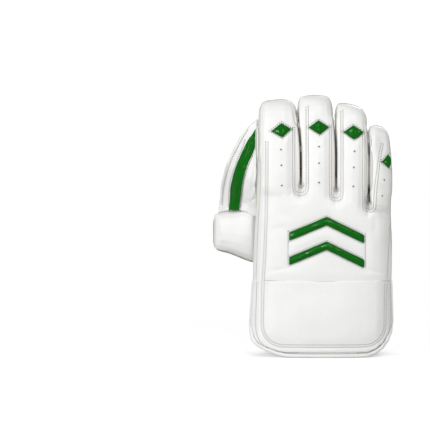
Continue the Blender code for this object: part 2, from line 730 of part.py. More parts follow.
def cuff_outward(face, share, z):
    """The direction that the cuff's outside faces."""
    if abs(share) > 0.999:
        return Vector((math.copysign(1.0, share), 0.0, 0.0))
    step = 0.001
    across = cuff_point(face, share + step, z) - cuff_point(face, share - step, z)
    up = cuff_point(face, share, z + CUFF_HEIGHT * step) - cuff_point(face, share, z - CUFF_HEIGHT * step)
    outward = across.cross(up) if face == "back" else up.cross(across)
    return outward.normalized()


def cuff_rim_height(share):
    """Height of the cuff's rim: flat below, with rounded corners."""
    corner = CUFF_CORNERS["thumb_side" if share < 0 else "little_side"]
    past = max(0.0, abs(share) - (1.0 - corner)) / corner
    return CUFF_CORNER_HEIGHT * (1.0 - math.sqrt(max(0.0, 1.0 - past * past)))


def cuff_places():
    """Rows of places on a cuff panel, each its share across and its height, from the rim to the cuff seam."""
    top = CUFF_HEIGHT - FIT_GAP
    shares = [math.sin(math.pi * (j / CUFF_SLICES - 0.5)) for j in range(CUFF_SLICES + 1)]
    return [[(share, mix(cuff_rim_height(share), top, up)) for share in shares] for up in CUFF_ROWS]


def rim_path(face):
    """Points round the cuff panel's free edge, each with the panel's outward and rimward directions."""
    places = cuff_places()
    path = [row[0] for row in reversed(places)] + places[0][1:-1] + [row[-1] for row in places]
    points = [cuff_point(face, share, z) for share, z in path]
    turn = 1.0 if face == "back" else -1.0
    frames = []
    for i, (share, z) in enumerate(path):
        along = (points[min(len(path) - 1, i + 1)] - points[max(0, i - 1)]).normalized()
        out = cuff_outward(face, share, z)
        out.z = 0.0
        out = (out - along * out.dot(along)).normalized()
        frames.append((points[i], out, along.cross(out).normalized() * turn))
    return frames


def rim_sweep(name, face, section, top, finish):
    """A closed strip swept round the cuff panel's free edge. section: places outward and rimward."""
    rings = []
    for point, out, rimward in rim_path(face):
        rings.append([point + out * across + rimward * down for across, down in section])
    for corner in rings[0] + rings[-1]:
        corner.z = top
    bm = bmesh.new()
    verts = [[bm.verts.new(corner) for corner in ring] for ring in rings]
    for low, high in zip(verts, verts[1:]):
        for k in range(len(section)):
            n = (k + 1) % len(section)
            bm.faces.new((low[k], low[n], high[n], high[k]))
    bm.faces.new(verts[0][::-1])
    bm.faces.new(verts[-1])
    bmesh.ops.recalc_face_normals(bm, faces=bm.faces)
    mesh = bpy.data.meshes.new(name)
    bm.to_mesh(mesh)
    bm.free()
    made = add_object(name, mesh, finish)
    mesh.set_sharp_from_angle(angle=math.radians(35))
    return made


def binding(face, finish):
    """The rounded leather binding that wraps the free edge of one cuff panel."""
    reach = (BINDING_WIDTH - CUFF_WALL) / 2
    bevel = BINDING_HEIGHT * 0.3
    section = (
        (reach, -BINDING_HEIGHT), (reach, -bevel), (reach - bevel, 0.0),
        (bevel - reach - CUFF_WALL, 0.0), (-reach - CUFF_WALL, -bevel), (-reach - CUFF_WALL, -BINDING_HEIGHT),
    )
    return rim_sweep("binding_" + face, face, section, CUFF_HEIGHT - FIT_GAP, finish)


def cuff_panel(face, finish):
    """One padded panel of the cuff, which stops where the binding starts."""
    grid = [[cuff_point(face, share, z) for share, z in row] for row in cuff_places()]
    frames = rim_path(face)

    def edge_normal(point, normal):
        nearest = min(frames, key=lambda frame: (frame[0] - point).length)
        if (nearest[0] - point).length < FIT_GAP:
            normal = nearest[1]
        return squared(normal, [Vector((0.0, 0.0, 1.0))] if point.z > CUFF_HEIGHT - 2 * FIT_GAP else [])

    panel = walled("cuff_" + face, sheet([grid], face == "back"), CUFF_WALL, edge_normal, finish)
    reach, down = (BINDING_WIDTH - CUFF_WALL) / 2, -BINDING_HEIGHT - 2 * FIT_GAP
    near, far = reach + BINDING_HEIGHT / 2, -reach - CUFF_WALL - BINDING_HEIGHT / 2
    room = (
        (reach, down), (near, down), (near, BINDING_HEIGHT), (far, BINDING_HEIGHT), (far, down),
        (-reach - CUFF_WALL, down),
    )
    cutter = rim_sweep("binding_room_" + face, face, room, CUFF_HEIGHT + BINDING_HEIGHT, finish)
    hide_cutter(cutter)
    cut = panel.modifiers.new("binding_room", "BOOLEAN")
    cut.operation = "DIFFERENCE"
    cut.object = cutter
    return panel


def main():
    clear_scene()
    leather = material("white leather", LEATHER_WHITE, 0.45)
    rubber = material("pimpled rubber", RUBBER_GREY, 0.7)
    patent = material("green patent", PATENT_GREEN, 0.15)
    half_glove("back_shell", "back", leather, LEATHER_WALL)
    palm = half_glove("palm_shell", "palm", rubber, RUBBER_WALL)
    cut_thumb_hole(palm)
    seat = palm_block()
    thumb_half("thumb_back", -1.0, seat, leather, LEATHER_WALL)
    thumb_half("thumb_palm", 1.0, seat, rubber, RUBBER_WALL)
    web_half("web_back", True, leather)
    web_half("web_palm", False, rubber)
    web_stripe(patent)
    for finger in range(len(FINGERS)):
        diamond(finger, patent)
    chevron("chevron_upper", 0.0, patent)
    chevron("chevron_lower", CHEVRON_PITCH, patent)
    for face in ("back", "palm"):
        cuff_panel(face, leather)
        binding(face, leather)
    for made in bpy.data.objects:
        made.location.y -= STAND_BACK


main()
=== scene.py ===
"""The right-hand wicketkeeping glove, dressed: padded white leather, pimpled rubber, green patent trim.

Sizes are in metres. Seam lines and folds are in millimetres across and up, as they are marked on the leather.
The glove stands on its cuff, its back faces -Y and its thumb points to -X.
"""

import math

import bpy
import numpy as np
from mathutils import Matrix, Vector, noise
from mathutils.bvhtree import BVHTree


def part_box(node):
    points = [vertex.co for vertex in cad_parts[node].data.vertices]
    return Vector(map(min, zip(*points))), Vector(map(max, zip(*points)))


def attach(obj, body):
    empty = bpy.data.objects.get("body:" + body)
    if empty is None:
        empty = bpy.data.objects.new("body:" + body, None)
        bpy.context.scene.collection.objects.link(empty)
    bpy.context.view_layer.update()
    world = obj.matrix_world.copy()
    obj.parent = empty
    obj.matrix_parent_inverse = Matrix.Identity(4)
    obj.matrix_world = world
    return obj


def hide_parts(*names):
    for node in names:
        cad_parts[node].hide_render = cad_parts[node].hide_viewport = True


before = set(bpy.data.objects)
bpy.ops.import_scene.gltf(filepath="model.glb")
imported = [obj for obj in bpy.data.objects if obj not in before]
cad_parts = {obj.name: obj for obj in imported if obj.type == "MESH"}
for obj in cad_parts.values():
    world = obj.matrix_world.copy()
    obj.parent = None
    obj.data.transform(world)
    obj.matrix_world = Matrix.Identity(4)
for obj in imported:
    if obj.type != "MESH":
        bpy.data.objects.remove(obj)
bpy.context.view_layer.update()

# The camera stands well back with a long lens, a little above the glove's middle, and looks at its back.
# Its view is centred to the thumb's side of the glove.
VIEW_MIDDLE = Vector((-0.1063, -0.0474, 0.1722))
VIEW_DISTANCE = 8.0
VIEW_RISE = math.radians(6.0)
VIEW_WIDTH = 0.513
SENSOR = 36.0
back_off = Vector((0.0, -math.cos(VIEW_RISE), math.sin(VIEW_RISE)))
bpy.ops.object.camera_add(
    location=VIEW_MIDDLE + back_off * VIEW_DISTANCE, rotation=(math.pi / 2 - VIEW_RISE, 0.0, 0.0)
)
camera = bpy.context.object
camera.data.sensor_width = SENSOR
camera.data.lens = SENSOR * VIEW_DISTANCE / VIEW_WIDTH
bpy.context.scene.camera = camera

# The back of the hand and the finger backs: one padded skin of soft white leather over foam.
# It is cut as one piece and turned in at its edges. The seams draw it down, and the foam swells between them.
LEATHER_VOXEL = 0.00114
BACK, PALM = -1, 1
# The side seams' depth at the hand, the finger roots' height, the tips' height above them, and their curl
PART_Y, ROOT_Z, FINGER_REACH, CURL = -0.0104, 0.2034, 0.1073, 0.017
# A round of smoothing: the share of a pull to the neighbours, and of the push back
SMOOTHING = (0.50, -0.52)
# How far from the glove's middle a skin is looked at, to find a place on it
LOOK_FROM = 0.3


def pick(piece):
    bpy.ops.object.select_all(action="DESELECT")
    piece.select_set(True)
    bpy.context.view_layer.objects.active = piece


def apply(piece, kind, **settings):
    """Add one modifier with its settings and apply it."""
    pick(piece)
    modifier = piece.modifiers.new(kind.lower(), kind)
    for name, value in settings.items():
        setattr(modifier, name, value)
    bpy.ops.object.modifier_apply(modifier=modifier.name)


def points_of(piece):
    """The piece's points and the ways that they face, a row each."""
    points = np.empty(len(piece.data.vertices) * 3)
    facing = np.empty(len(piece.data.vertices) * 3)
    piece.data.vertices.foreach_get("co", points)
    piece.data.vertex_normals.foreach_get("vector", facing)
    return points.reshape(-1, 3), facing.reshape(-1, 3)


def move_points(piece, points):
    piece.data.vertices.foreach_set("co", points.astype(np.float32).ravel())
    piece.data.update()


def relaxed(piece, rounds):
    """Smooth a skin without shrinking it: a round pulls each point to its neighbours, then pushes back."""
    points, _ = points_of(piece)
    ends = np.empty(len(piece.data.edges) * 2, dtype=np.int64)
    piece.data.edges.foreach_get("vertices", ends)
    first, second = ends.reshape(-1, 2).T
    count = np.bincount(first, minlength=len(points)) + np.bincount(second, minlength=len(points))
    for share in SMOOTHING * rounds:
        pull = np.stack([
            np.bincount(first, column[second], len(points)) + np.bincount(second, column[first], len(points))
            for column in points.T
        ], axis=1)
        points += share * (pull / count[:, None] - points)
    move_points(piece, points)


def cut_from(node, name, voxel, rounds):
    """A fresh skin over a CAD node's shape: joined up, with even faces, and its facets smoothed away."""
    piece = bpy.data.objects.new(name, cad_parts[node].data.copy())
    bpy.context.collection.objects.link(piece)
    pick(piece)
    bpy.ops.object.mode_set(mode="EDIT")
    bpy.ops.mesh.select_all(action="SELECT")
    bpy.ops.mesh.remove_doubles(threshold=0.00001)
    bpy.ops.object.mode_set(mode="OBJECT")
    apply(piece, "REMESH", mode="VOXEL", voxel_size=voxel)
    relaxed(piece, rounds)
    bpy.ops.object.shade_smooth()
    piece.data.materials.clear()
    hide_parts(node)
    return piece


def finish(piece, material):
    """Give a piece its material, and say what it rides on."""
    piece.data.materials.append(material)
    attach(piece, "root")


def tree_of(piece):
    return BVHTree.FromObject(piece, bpy.context.evaluated_depsgraph_get())


def seen_at(tree, side, x, z):
    """The place on a skin that is seen from one side at a flat place, and the way that it faces."""
    return tree.ray_cast(Vector((x, side * LOOK_FROM, z)), Vector((0.0, -side, 0.0)))[:2]


def mark(piece, name, values):
    """Write a mask on the piece's points, for its material."""
    layer = piece.data.attributes.get(name) or piece.data.attributes.new(name, "FLOAT", "POINT")
    layer.data.foreach_set("value", values.astype(np.float32))


def ease(share):
    held = np.clip(share, 0.0, 1.0)
    return held * held * (3.0 - 2.0 * held)


def curve(corners):
    """A smooth line through a few corners."""
    line = np.array(corners, float)
    held = np.vstack([2 * line[0] - line[1], line, 2 * line[-1] - line[-2]])
    fine = []
    for a, b, c, d in zip(held, held[1:], held[2:], held[3:]):
        for t in np.linspace(0.0, 1.0, 8, endpoint=False):
            bend = 2 * b + (c - a) * t + (2 * a - 5 * b + 4 * c - d) * t * t
            fine.append((bend + (3 * b - a - 3 * c + d) * t ** 3) / 2)
    return np.array(fine + [line[-1]])


def evenly(line, step):
    """Places a step apart along a line."""
    line = np.asarray(line, float)
    lengths = np.concatenate([[0.0], np.cumsum(np.linalg.norm(np.diff(line, axis=0), axis=1))])
    places = np.linspace(0.0, lengths[-1], max(2, round(lengths[-1] / step) + 1))
    return np.stack([np.interp(places, lengths, column) for column in line.T], axis=1)


def beside(line, gap):
    """A line beside another in the plane: at the right of its course, or at the left for a gap below 0."""
    line = np.asarray(line, float)
    course = np.gradient(line, axis=0)
    course /= np.linalg.norm(course, axis=1)[:, None]
    return line + gap * np.stack([course[:, 1], -course[:, 0]], axis=1)


def u_row(left, right, foot, tops, bend, leans=(0.0, 0.0), sag=0.0):
    """A line shaped like a U. tops: heights of its ends, left and right; bend: radius of its two corners;
    leans: how far each end has moved across; sag: how much lower its middle hangs than its corners."""
    turn = np.linspace(0.0, math.pi / 2.0, 8)
    low = foot + bend
    sides = []
    for edge, inward, top, lean in ((left, 1, tops[0], leans[0]), (right, -1, tops[1], leans[1])):
        rise = np.linspace(top, low, 16)[:-1]
        up = np.concatenate([rise, low - bend * np.sin(turn)])
        across = np.concatenate([np.full(15, edge), edge + inward * bend * (1.0 - np.cos(turn))])
        across += lean * np.maximum(0.0, (up - low) / (top - low)) ** 1.6
        sides.append(np.stack([across, up], axis=1))
    line = np.vstack([sides[0], sides[1][::-1]])
    off_middle = (line[:, 0] - (left + right) / 2.0) / ((right - left) / 2.0)
    line[:, 1] += sag * np.minimum(1.0, off_middle ** 2)
    return line


def off_line(flat, line):
    """How far each flat point is from a line."""
    nearest = np.full(len(flat), np.inf)
    for a, b in zip(line[:-1], line[1:]):
        along = b - a
        share = np.clip((flat - a) @ along / (along @ along), 0.0, 1.0)
        gap = flat - a - share[:, None] * along
        nearest = np.minimum(nearest, (gap * gap).sum(axis=1))
    return np.sqrt(nearest)


def outward(facing, side):
    """How much each point belongs to one face of a skin, from 0 to 1."""
    return ease(facing[:, 1] * side / 0.35)


def sewn_down(piece, side, lines, groove, dip):
    """Draw one face of a skin in along its seams. groove, dip: the depth and half width of each."""
    points, facing = points_of(piece)
    outside = outward(facing, side)
    touched = outside > 0.0
    flat = points[touched][:, (0, 2)]
    nearest = np.full(len(flat), np.inf)
    for line in lines:
        nearest = np.minimum(nearest, off_line(flat, evenly(line, 3.0) / 1000.0))
    drop = groove[0] * np.exp(-((nearest / groove[1]) ** 2)) + dip[0] * np.exp(-((nearest / dip[1]) ** 2))
    points[touched] -= facing[touched] * (drop * outside[touched])[:, None]
    # A mask along the seam grooves, for the materials to grey: partly dirt, partly painted shade.
    seam = np.zeros(len(points))
    seam[touched] = np.exp(-((nearest / (1.7 * groove[1])) ** 2)) * outside[touched]
    move_points(piece, points)
    mark(piece, "Seam", seam)


def rolled(piece, side, folds):
    """Swell or sink one face of a skin in folds. folds: corners, height and half width in millimetres."""
    points, facing = points_of(piece)
    flat = points[:, (0, 2)]
    lift = np.zeros(len(points))
    for corners, height, half_width in folds:
        line = evenly(curve(corners), 3.0) / 1000.0
        ends = np.minimum(np.linalg.norm(flat - line[0], axis=1), np.linalg.norm(flat - line[-1], axis=1))
        fade = ease(0.25 + ends * 1000.0 / (3.0 * half_width))
        lift += height / 1000.0 * fade * np.exp(-((off_line(flat, line) * 1000.0 / half_width) ** 2))
    move_points(piece, points + facing * (lift * outward(facing, side))[:, None])


def uneven(piece, side, waves):
    """Give one face of a skin the slight unevenness of worked leather. waves: size and height, in metres."""
    points, facing = points_of(piece)
    outside = outward(facing, side)
    for i in np.flatnonzero(outside > 0.0):
        lift = sum(height * noise.noise(Vector(points[i] / size)) for size, height in waves)
        points[i] += facing[i] * (lift * outside[i])
    move_points(piece, points)


def part_depth(z):
    """How far back the side seams lie at a height: they curl towards the palm along the fingers."""
    up = np.maximum(0.0, (z - ROOT_Z) / FINGER_REACH)
    return PART_Y + CURL * up * up


# In millimetres: the height where the fingers start to lean apart, then half a slit's width, how far its lips
# reach and are pulled in, and how far from its middle its walls get painted shade
LEAN_FROM = 236.0
SLOT_HALF, LIP_REACH, LIP_PULL, SLIT_SHADE_REACH = 0.8, 6.2, 1.3, 1.7
# How far a finger back is filled out beside a slit, and over what width
ROLL_HEIGHT, ROLL_REACH = 4.0, 6.2
# The finger fronts' walls are pressed together within this gap, with this fade, by this share
PRESS_NEAR, PRESS_FADE, PRESS_SHARE = 1.4, 1.6, 0.96
# Each one's start from the slit's foot and its fade, then the same at the shoulders
# The last span on each line bounds where the slit walls get painted shade.
ROLL_SPAN, LIP_SPAN, SLIT_SHADE_SPAN = (-10.0, 13.0, 12.0, 22.0), (1.0, 5.0, 2.0, 12.0), (0.5, 2.5, -1.0, 6.0)
PRESS_SPAN, PRESSED_SLIT_SHADE_SPAN = (-3.0, 3.0, 6.0, 10.0), (-5.0, 3.0, -1.0, 6.0)


def slit_line(across, lean, foot, shoulder):
    """The middle of a slit between two fingers, from its foot to past the fingers' shoulders."""
    heights = np.linspace(foot, shoulder + 14.0, 20)
    bent = np.maximum(0.0, (heights - LEAN_FROM) / (shoulder - LEAN_FROM))
    return np.stack([across + lean * bent ** 2, heights], axis=1)


def along_slit(heights, foot, shoulder, span):
    """A share that rises at a slit's foot and falls at its shoulders. span: start and fade at each."""
    return ease((heights - (foot + span[0])) / span[1]) * ease((shoulder + span[2] - heights) / span[3])


def squared_up(piece, slits):
    """Fill out the finger backs beside their slits, so that each stands as a flat roll with steep sides."""
    points, facing = points_of(piece)
    flat = points[:, (0, 2)] * 1000.0
    lift, slit_shade = np.zeros(len(points)), np.zeros(len(points))
    for across, lean, foot, shoulder in slits:
        line = slit_line(across, lean, foot, shoulder)
        off = off_line(flat, line)
        roll = np.exp(-((off / ROLL_REACH) ** 2)) * along_slit(flat[:, 1], foot, shoulder, ROLL_SPAN)
        lift = np.maximum(lift, roll)
        gap = flat[:, 0] - np.interp(flat[:, 1], line[:, 1], line[:, 0])
        pull = LIP_PULL * np.sin(math.pi * np.clip((abs(gap) - SLOT_HALF) / LIP_REACH, 0.0, 1.0))
        pull *= along_slit(flat[:, 1], foot, shoulder, LIP_SPAN)
        points[:, 0] -= np.sign(gap) * pull / 1000.0
        # The deep walls of each slit are marked to be painted near black: painted shade.
        deep = along_slit(flat[:, 1], foot, shoulder, SLIT_SHADE_SPAN) * (off < SLIT_SHADE_REACH)
        slit_shade = np.maximum(slit_shade, deep * ease((0.75 - abs(facing[:, 1])) / 0.3))
    share = ease((part_depth(points[:, 2]) - points[:, 1]) / 0.009)
    points[:, 1] -= ROLL_HEIGHT / 1000.0 * lift * share
    move_points(piece, points)
    mark(piece, "Painted slit shade", slit_shade)


def pressed(piece, slits):
    """Press the finger fronts against each other, so that no light comes through between them."""
    points, facing = points_of(piece)
    flat = points[:, (0, 2)] * 1000.0
    slit_shade = np.zeros(len(points))
    for across, lean, foot, shoulder in slits:
        line = slit_line(across, lean, foot, shoulder)
        gap = flat[:, 0] - np.interp(flat[:, 1], line[:, 1], line[:, 0])
        wall = 1.0 - ease((abs(gap) - PRESS_NEAR) / PRESS_FADE)
        wall *= along_slit(flat[:, 1], foot, shoulder, PRESS_SPAN)
        points[:, 0] -= PRESS_SHARE * wall * gap / 1000.0
        # The pressed walls are marked to be painted near black: painted shade.
        deep = wall * along_slit(flat[:, 1], foot, shoulder, PRESSED_SLIT_SHADE_SPAN)
        slit_shade = np.maximum(slit_shade, deep * ease((0.8 - abs(facing[:, 1])) / 0.3))
    move_points(piece, points)
    mark(piece, "Painted slit shade", slit_shade)


def let_out(piece, start, end, shift):
    """Stretch the strip of a skin between two heights, so that its edge laps over its neighbour."""
    points, _ = points_of(piece)
    points[:, 2] += shift * ease((points[:, 2] - start) / (end - start))
    move_points(piece, points)


# Each slit: its place across, how far its top leans, and the heights of its foot and shoulders
SLITS = ((-3.7, -4.1, 203.4, 291.0), (38.5, -2.5, 198.6, 288.0), (78.1, -1.9, 183.0, 270.0))
# Two rows run down one side of each slit, round its foot and up the other side
SLIT_ROWS = (
    u_row(-10.9, 2.6, 196.4, (274.0, 300.0), 6.7), u_row(-13.5, 5.3, 193.4, (274.0, 301.0), 9.0),
    u_row(33.0, 44.2, 190.0, (277.0, 295.0), 5.6), u_row(30.4, 46.8, 187.0, (277.0, 296.0), 8.0),
    u_row(72.8, 83.2, 176.4, (265.0, 258.0), 5.2, (0.0, 9.4)),
    u_row(70.2, 85.9, 173.6, (266.0, 257.0), 7.7, (0.0, 9.3)),
)
THUMB_SIDE_ROW = curve(((-43.0, 257.0), (-43.3, 190.0), (-45.0, 135.0), (-47.4, 91.0)))
THUMB_EDGE_ROW = curve(((-52.0, 235.0), (-52.6, 188.0), (-54.6, 160.0), (-57.2, 91.0)))
LITTLE_SIDE_ROW = curve(((102.8, 153.0), (101.6, 127.0), (99.6, 91.0)))
CUFF_SEAM_ROW = curve(((-50.0, 91.6), (10.0, 91.0), (104.0, 90.4)))
LITTLE_FOLD = ((85.3, 184.3), (94.5, 176.3), (104.5, 167.4))
TRIM_MARGIN = 1.1


def corners_of(shape, directions):
    """A flat CAD patch's corners, in millimetres: its furthest point in each direction."""
    flat = np.array([(vertex.co.x, vertex.co.z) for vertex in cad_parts[shape].data.vertices]) * 1000.0
    return [flat[np.argmax(flat @ np.array(direction))] for direction in directions]


def diamond_row(finger):
    """The row of stitches round a diamond, a little outside its edges."""
    corners = np.array(corners_of("diamond_" + finger, ((-1, 0), (0, 1), (1, 0), (0, -1))))
    middle = (corners.max(axis=0) + corners.min(axis=0)) / 2.0
    width, height = (corners.max(axis=0) - corners.min(axis=0)) / 2.0
    grown = middle + (corners - middle) * (1.0 + TRIM_MARGIN * math.hypot(width, height) / (width * height))
    return np.vstack([grown, grown[:1]])


def chevron_rows(shape):
    """The rows along the upper and the lower edge of a chevron, a little outside it."""
    left, peak, right = corners_of(shape, ((-1, 0.4), (0, 1), (1, 0.4)))
    band = right[1] - corners_of(shape, ((1, -0.4),))[0][1]
    upper = np.array((left, peak, right)) + (0.0, TRIM_MARGIN)
    return upper, upper - (0.0, band + 2.0 * TRIM_MARGIN)


upper_rows, lower_rows = chevron_rows("chevron_upper"), chevron_rows("chevron_lower")
end_rows = [
    np.array((upper_rows[0][end], lower_rows[1][end])) + (side * TRIM_MARGIN, 0.0)
    for end, side in ((0, -1), (2, 1))
]
little_corner = diamond_row("little")
TRIM_ROWS = [diamond_row(finger) for finger in ("index", "middle", "ring")]
TRIM_ROWS += [*upper_rows, *lower_rows, *end_rows, little_corner[:2], little_corner[3:]]
BACK_ROWS = [
    *SLIT_ROWS, THUMB_SIDE_ROW, beside(THUMB_SIDE_ROW, 2.6), THUMB_EDGE_ROW, LITTLE_SIDE_ROW, CUFF_SEAM_ROW,
]

back = cut_from("back_shell", "back_leather", LEATHER_VOXEL, 12)
plain_back = tree_of(back)
let_out(back, 0.094, 0.0900, -0.0022)
squared_up(back, SLITS)
sewn_down(back, BACK, BACK_ROWS + TRIM_ROWS, (0.00008, 0.0010), (0.0009, 0.0060))
rolled(back, BACK, (
    (LITTLE_FOLD, -1.5, 1.3),
    (((87.5, 181), (96, 173.5), (105, 164.5)), 0.9, 2.2),
    (((-40.4, 102.9), (-31.2, 104.9), (-21.5, 106.9)), -0.8, 2.6),
    (((75.4, 104.9), (87.7, 102.2), (98.8, 100.3)), -0.8, 2.6),
    (((84, 171), (85.5, 158), (83, 148)), -0.6, 3.0),
    (((-41, 150), (-30, 155), (-19, 157)), -0.5, 3.5),
    (((-38, 176), (-22, 170), (-6, 173)), -0.6, 6.0),
    (((44, 178), (56, 171), (68, 170)), -0.6, 5.5),
    (((88, 213), (95, 207), (103, 205)), -0.5, 2.2),
    (((88, 199), (95, 202), (103, 200)), -0.4, 2.2),
    (((-34, 240), (-26, 237), (-17, 239)), -0.3, 3.2),
    (((10, 221), (19, 218), (28, 221)), -0.3, 3.2),
    (((52, 238), (60, 236), (68, 238)), -0.3, 3.2),
))
uneven(back, BACK, ((0.034, 0.0007), (0.011, 0.00022), (0.004, 0.00006)))


def new_group(name, inputs, outputs):
    """An empty node group with its sockets, and its two end nodes."""
    group = bpy.data.node_groups.new(name, "ShaderNodeTree")
    for socket, kind, value in inputs:
        made = group.interface.new_socket(socket, in_out="INPUT", socket_type="NodeSocket" + kind)
        made.default_value = value
    for socket, kind in outputs:
        group.interface.new_socket(socket, in_out="OUTPUT", socket_type="NodeSocket" + kind)
    return group, group.nodes.new("NodeGroupInput"), group.nodes.new("NodeGroupOutput")


def node(tree, kind, **settings):
    """A shader node. Settings are its own properties, or values of its inputs by their names."""
    made = tree.nodes.new("ShaderNode" + kind)
    for name, value in settings.items():
        if hasattr(made, name):
            setattr(made, name, value)
        else:
            made.inputs[name.replace("_", " ")].default_value = value
    return made


def join(tree, *links):
    """Join nodes. links: a node and its output, then a node and its input."""
    for source, given, target, taken in links:
        tree.links.new(source.outputs[given], target.inputs[taken])


def leather_grain_group():
    """Fine cells with soft creases between them. Height is for bump, Mottle varies slowly."""
    group, start, end = new_group(
        "Leather grain", [("Cells", "Float", 900.0), ("Mottling", "Float", 40.0)],
        [("Height", "Float"), ("Mottle", "Float")],
    )
    place = node(group, "TexCoord")
    cells = node(group, "TexVoronoi", feature="SMOOTH_F1", Smoothness=0.6)
    creases = node(group, "TexNoise", Scale=320.0, Detail=3.0, Roughness=0.6)
    slow = node(group, "TexNoise", Detail=4.0, Roughness=0.55)
    both = node(group, "Math", operation="MULTIPLY_ADD")
    both.inputs[1].default_value = 0.55
    join(
        group, (place, "Object", cells, "Vector"), (place, "Object", creases, "Vector"),
        (place, "Object", slow, "Vector"), (start, "Cells", cells, "Scale"),
        (start, "Mottling", slow, "Scale"), (cells, "Distance", both, 0), (creases, "Fac", both, 2),
        (both, 0, end, "Height"), (slow, "Fac", end, "Mottle"),
    )
    return group


def handling_group():
    """Faint marks of use: Marks is where hands and ball have dulled it, Scuffs are short fine scratches."""
    group, start, end = new_group(
        "Handling marks", [("Patches", "Float", 26.0), ("Scratches", "Float", 260.0)],
        [("Marks", "Float"), ("Scuffs", "Float")],
    )
    place = node(group, "TexCoord")
    patches = node(group, "TexNoise", Detail=5.0, Roughness=0.62)
    spread = node(group, "MapRange", From_Min=0.48, From_Max=0.74)
    squeeze = node(group, "Mapping", Scale=(1.0, 1.0, 0.16), Rotation=(0.3, 0.5, 0.8))
    lines = node(group, "TexNoise", Detail=2.0, Roughness=0.4)
    sharp = node(group, "MapRange", From_Min=0.66, From_Max=0.74)
    join(
        group, (place, "Object", patches, "Vector"), (place, "Object", squeeze, "Vector"),
        (squeeze, "Vector", lines, "Vector"), (start, "Patches", patches, "Scale"),
        (start, "Scratches", lines, "Scale"), (patches, "Fac", spread, "Value"),
        (lines, "Fac", sharp, "Value"), (spread, "Result", end, "Marks"), (sharp, "Result", end, "Scuffs"),
    )
    return group


LEATHER_GRAIN = leather_grain_group()
HANDLING = handling_group()
# How far marks of use and seams grey the leather, and how much rougher scuffs make it.
# The seam grey is partly dirt and partly painted shade in the seam grooves.
MARK_TINT, SEAM_DIRT_AND_SHADE_TINT, SCUFF_ROUGHNESS = 0.08, 0.04, 0.12
# The grey of marks of use, which is wear, and of seams, where it is partly dirt and partly painted shade.
GRIME_AND_SEAM_SHADE_GREY = (0.50, 0.49, 0.46, 1.0)
# Near black for the slit walls: painted shade, not the leather's colour.
SLIT_SHADE_GREY = (0.035, 0.034, 0.030, 1.0)


def scaled(tree, source, factor, offset=0.0):
    """A value times a factor plus an offset."""
    made = node(tree, "Math", operation="MULTIPLY_ADD")
    tree.links.new(source, made.inputs[0])
    made.inputs[1].default_value = factor
    made.inputs[2].default_value = offset
    return made.outputs[0]


def tinted(tree, colour, share, tint):
    """A colour, or a fixed colour, blended towards a tint by a share."""
    made = node(tree, "Mix", data_type="RGBA")
    if isinstance(colour, tuple):
        made.inputs["A"].default_value = colour
    else:
        tree.links.new(colour, made.inputs["A"])
    tree.links.new(share, made.inputs["Factor"])
    made.inputs["B"].default_value = tint
    return made.outputs["Result"]


def bumped(tree, shader, height, strength, distance):
    """Raise a surface's fine relief."""
    bump = node(tree, "Bump", Strength=strength, Distance=distance)
    tree.links.new(height, bump.inputs["Height"])
    tree.links.new(bump.outputs["Normal"], shader.inputs["Normal"])


def new_material(name, **inputs):
    """A material, its node tree and its shader. inputs: values of the shader's inputs by their names."""
    made = bpy.data.materials.new(name)
    made.use_nodes = True
    shader = made.node_tree.nodes["Principled BSDF"]
    for socket, value in inputs.items():
        shader.inputs[socket.replace("_", " ")].default_value = value
    return made, made.node_tree, shader


def leather(name, colour, shade, roughness, grain_depth):
    """Soft coated leather: grain, slow tone change, marks of use, seams greyed by dirt and painted shade,
    slits painted dark as shade.
    """
    made, tree, shader = new_material(name, Specular_IOR_Level=0.42, Sheen_Weight=0.08, Sheen_Roughness=0.5)
    grain = node(tree, "Group", node_tree=LEATHER_GRAIN)
    used = node(tree, "Group", node_tree=HANDLING)
    seam = node(tree, "Attribute", attribute_name="Seam")
    slit_shade = node(tree, "Attribute", attribute_name="Painted slit shade")
    toned = tinted(tree, colour, scaled(tree, grain.outputs["Mottle"], 0.8, -0.15), shade)
    marked = tinted(tree, toned, scaled(tree, used.outputs["Marks"], MARK_TINT), GRIME_AND_SEAM_SHADE_GREY)
    # Seams grey slightly: partly dirt, partly painted shade in their grooves.
    sewn = tinted(tree, marked, scaled(tree, seam.outputs["Fac"], SEAM_DIRT_AND_SHADE_TINT), GRIME_AND_SEAM_SHADE_GREY)
    # Painted shade: the slit walls are blended to near black.
    slit = tinted(tree, sewn, slit_shade.outputs["Fac"], SLIT_SHADE_GREY)
    tree.links.new(slit, shader.inputs["Base Color"])
    worn = scaled(tree, used.outputs["Scuffs"], SCUFF_ROUGHNESS, roughness)
    tree.links.new(worn, shader.inputs["Roughness"])
    bumped(tree, shader, grain.outputs["Height"], 0.5, grain_depth)
    return made


WHITE_LEATHER = leather("White leather", (0.80, 0.80, 0.79, 1.0), (0.74, 0.74, 0.73, 1.0), 0.43, 0.00022)
finish(back, WHITE_LEATHER)

# The stitching on the back: white thread through punched holes, two rows along every slit and side seam,
# and one row round each patch of trim. The thread sinks into the foam, so each hole shows as a dark dot,
# which is drawn as a small near-black cap: painted shade.
STITCH_PITCH = 0.0031
THREAD_LENGTH, THREAD_WIDTH, THREAD_HEIGHT = 0.0018, 0.0008, 0.00050
HOLE_RADIUS = 0.00068
HOLE_DEPTH_SHARE = 0.5
# How far along the pitch each hole sits from the end of its stitch
HOLE_SHARE = 0.02


def on_skin(tree, side, line):
    """A flat line drawn on a skin, seen from one side."""
    drawn = []
    for x, z in evenly(line, 1.0) / 1000.0:
        point = seen_at(tree, side, x, z)[0]
        if point is None:
            point = tree.find_nearest(Vector((x, drawn[-1][1] if drawn else 0.0, z)))[0]
        drawn.append(tuple(point))
    return np.array(drawn)


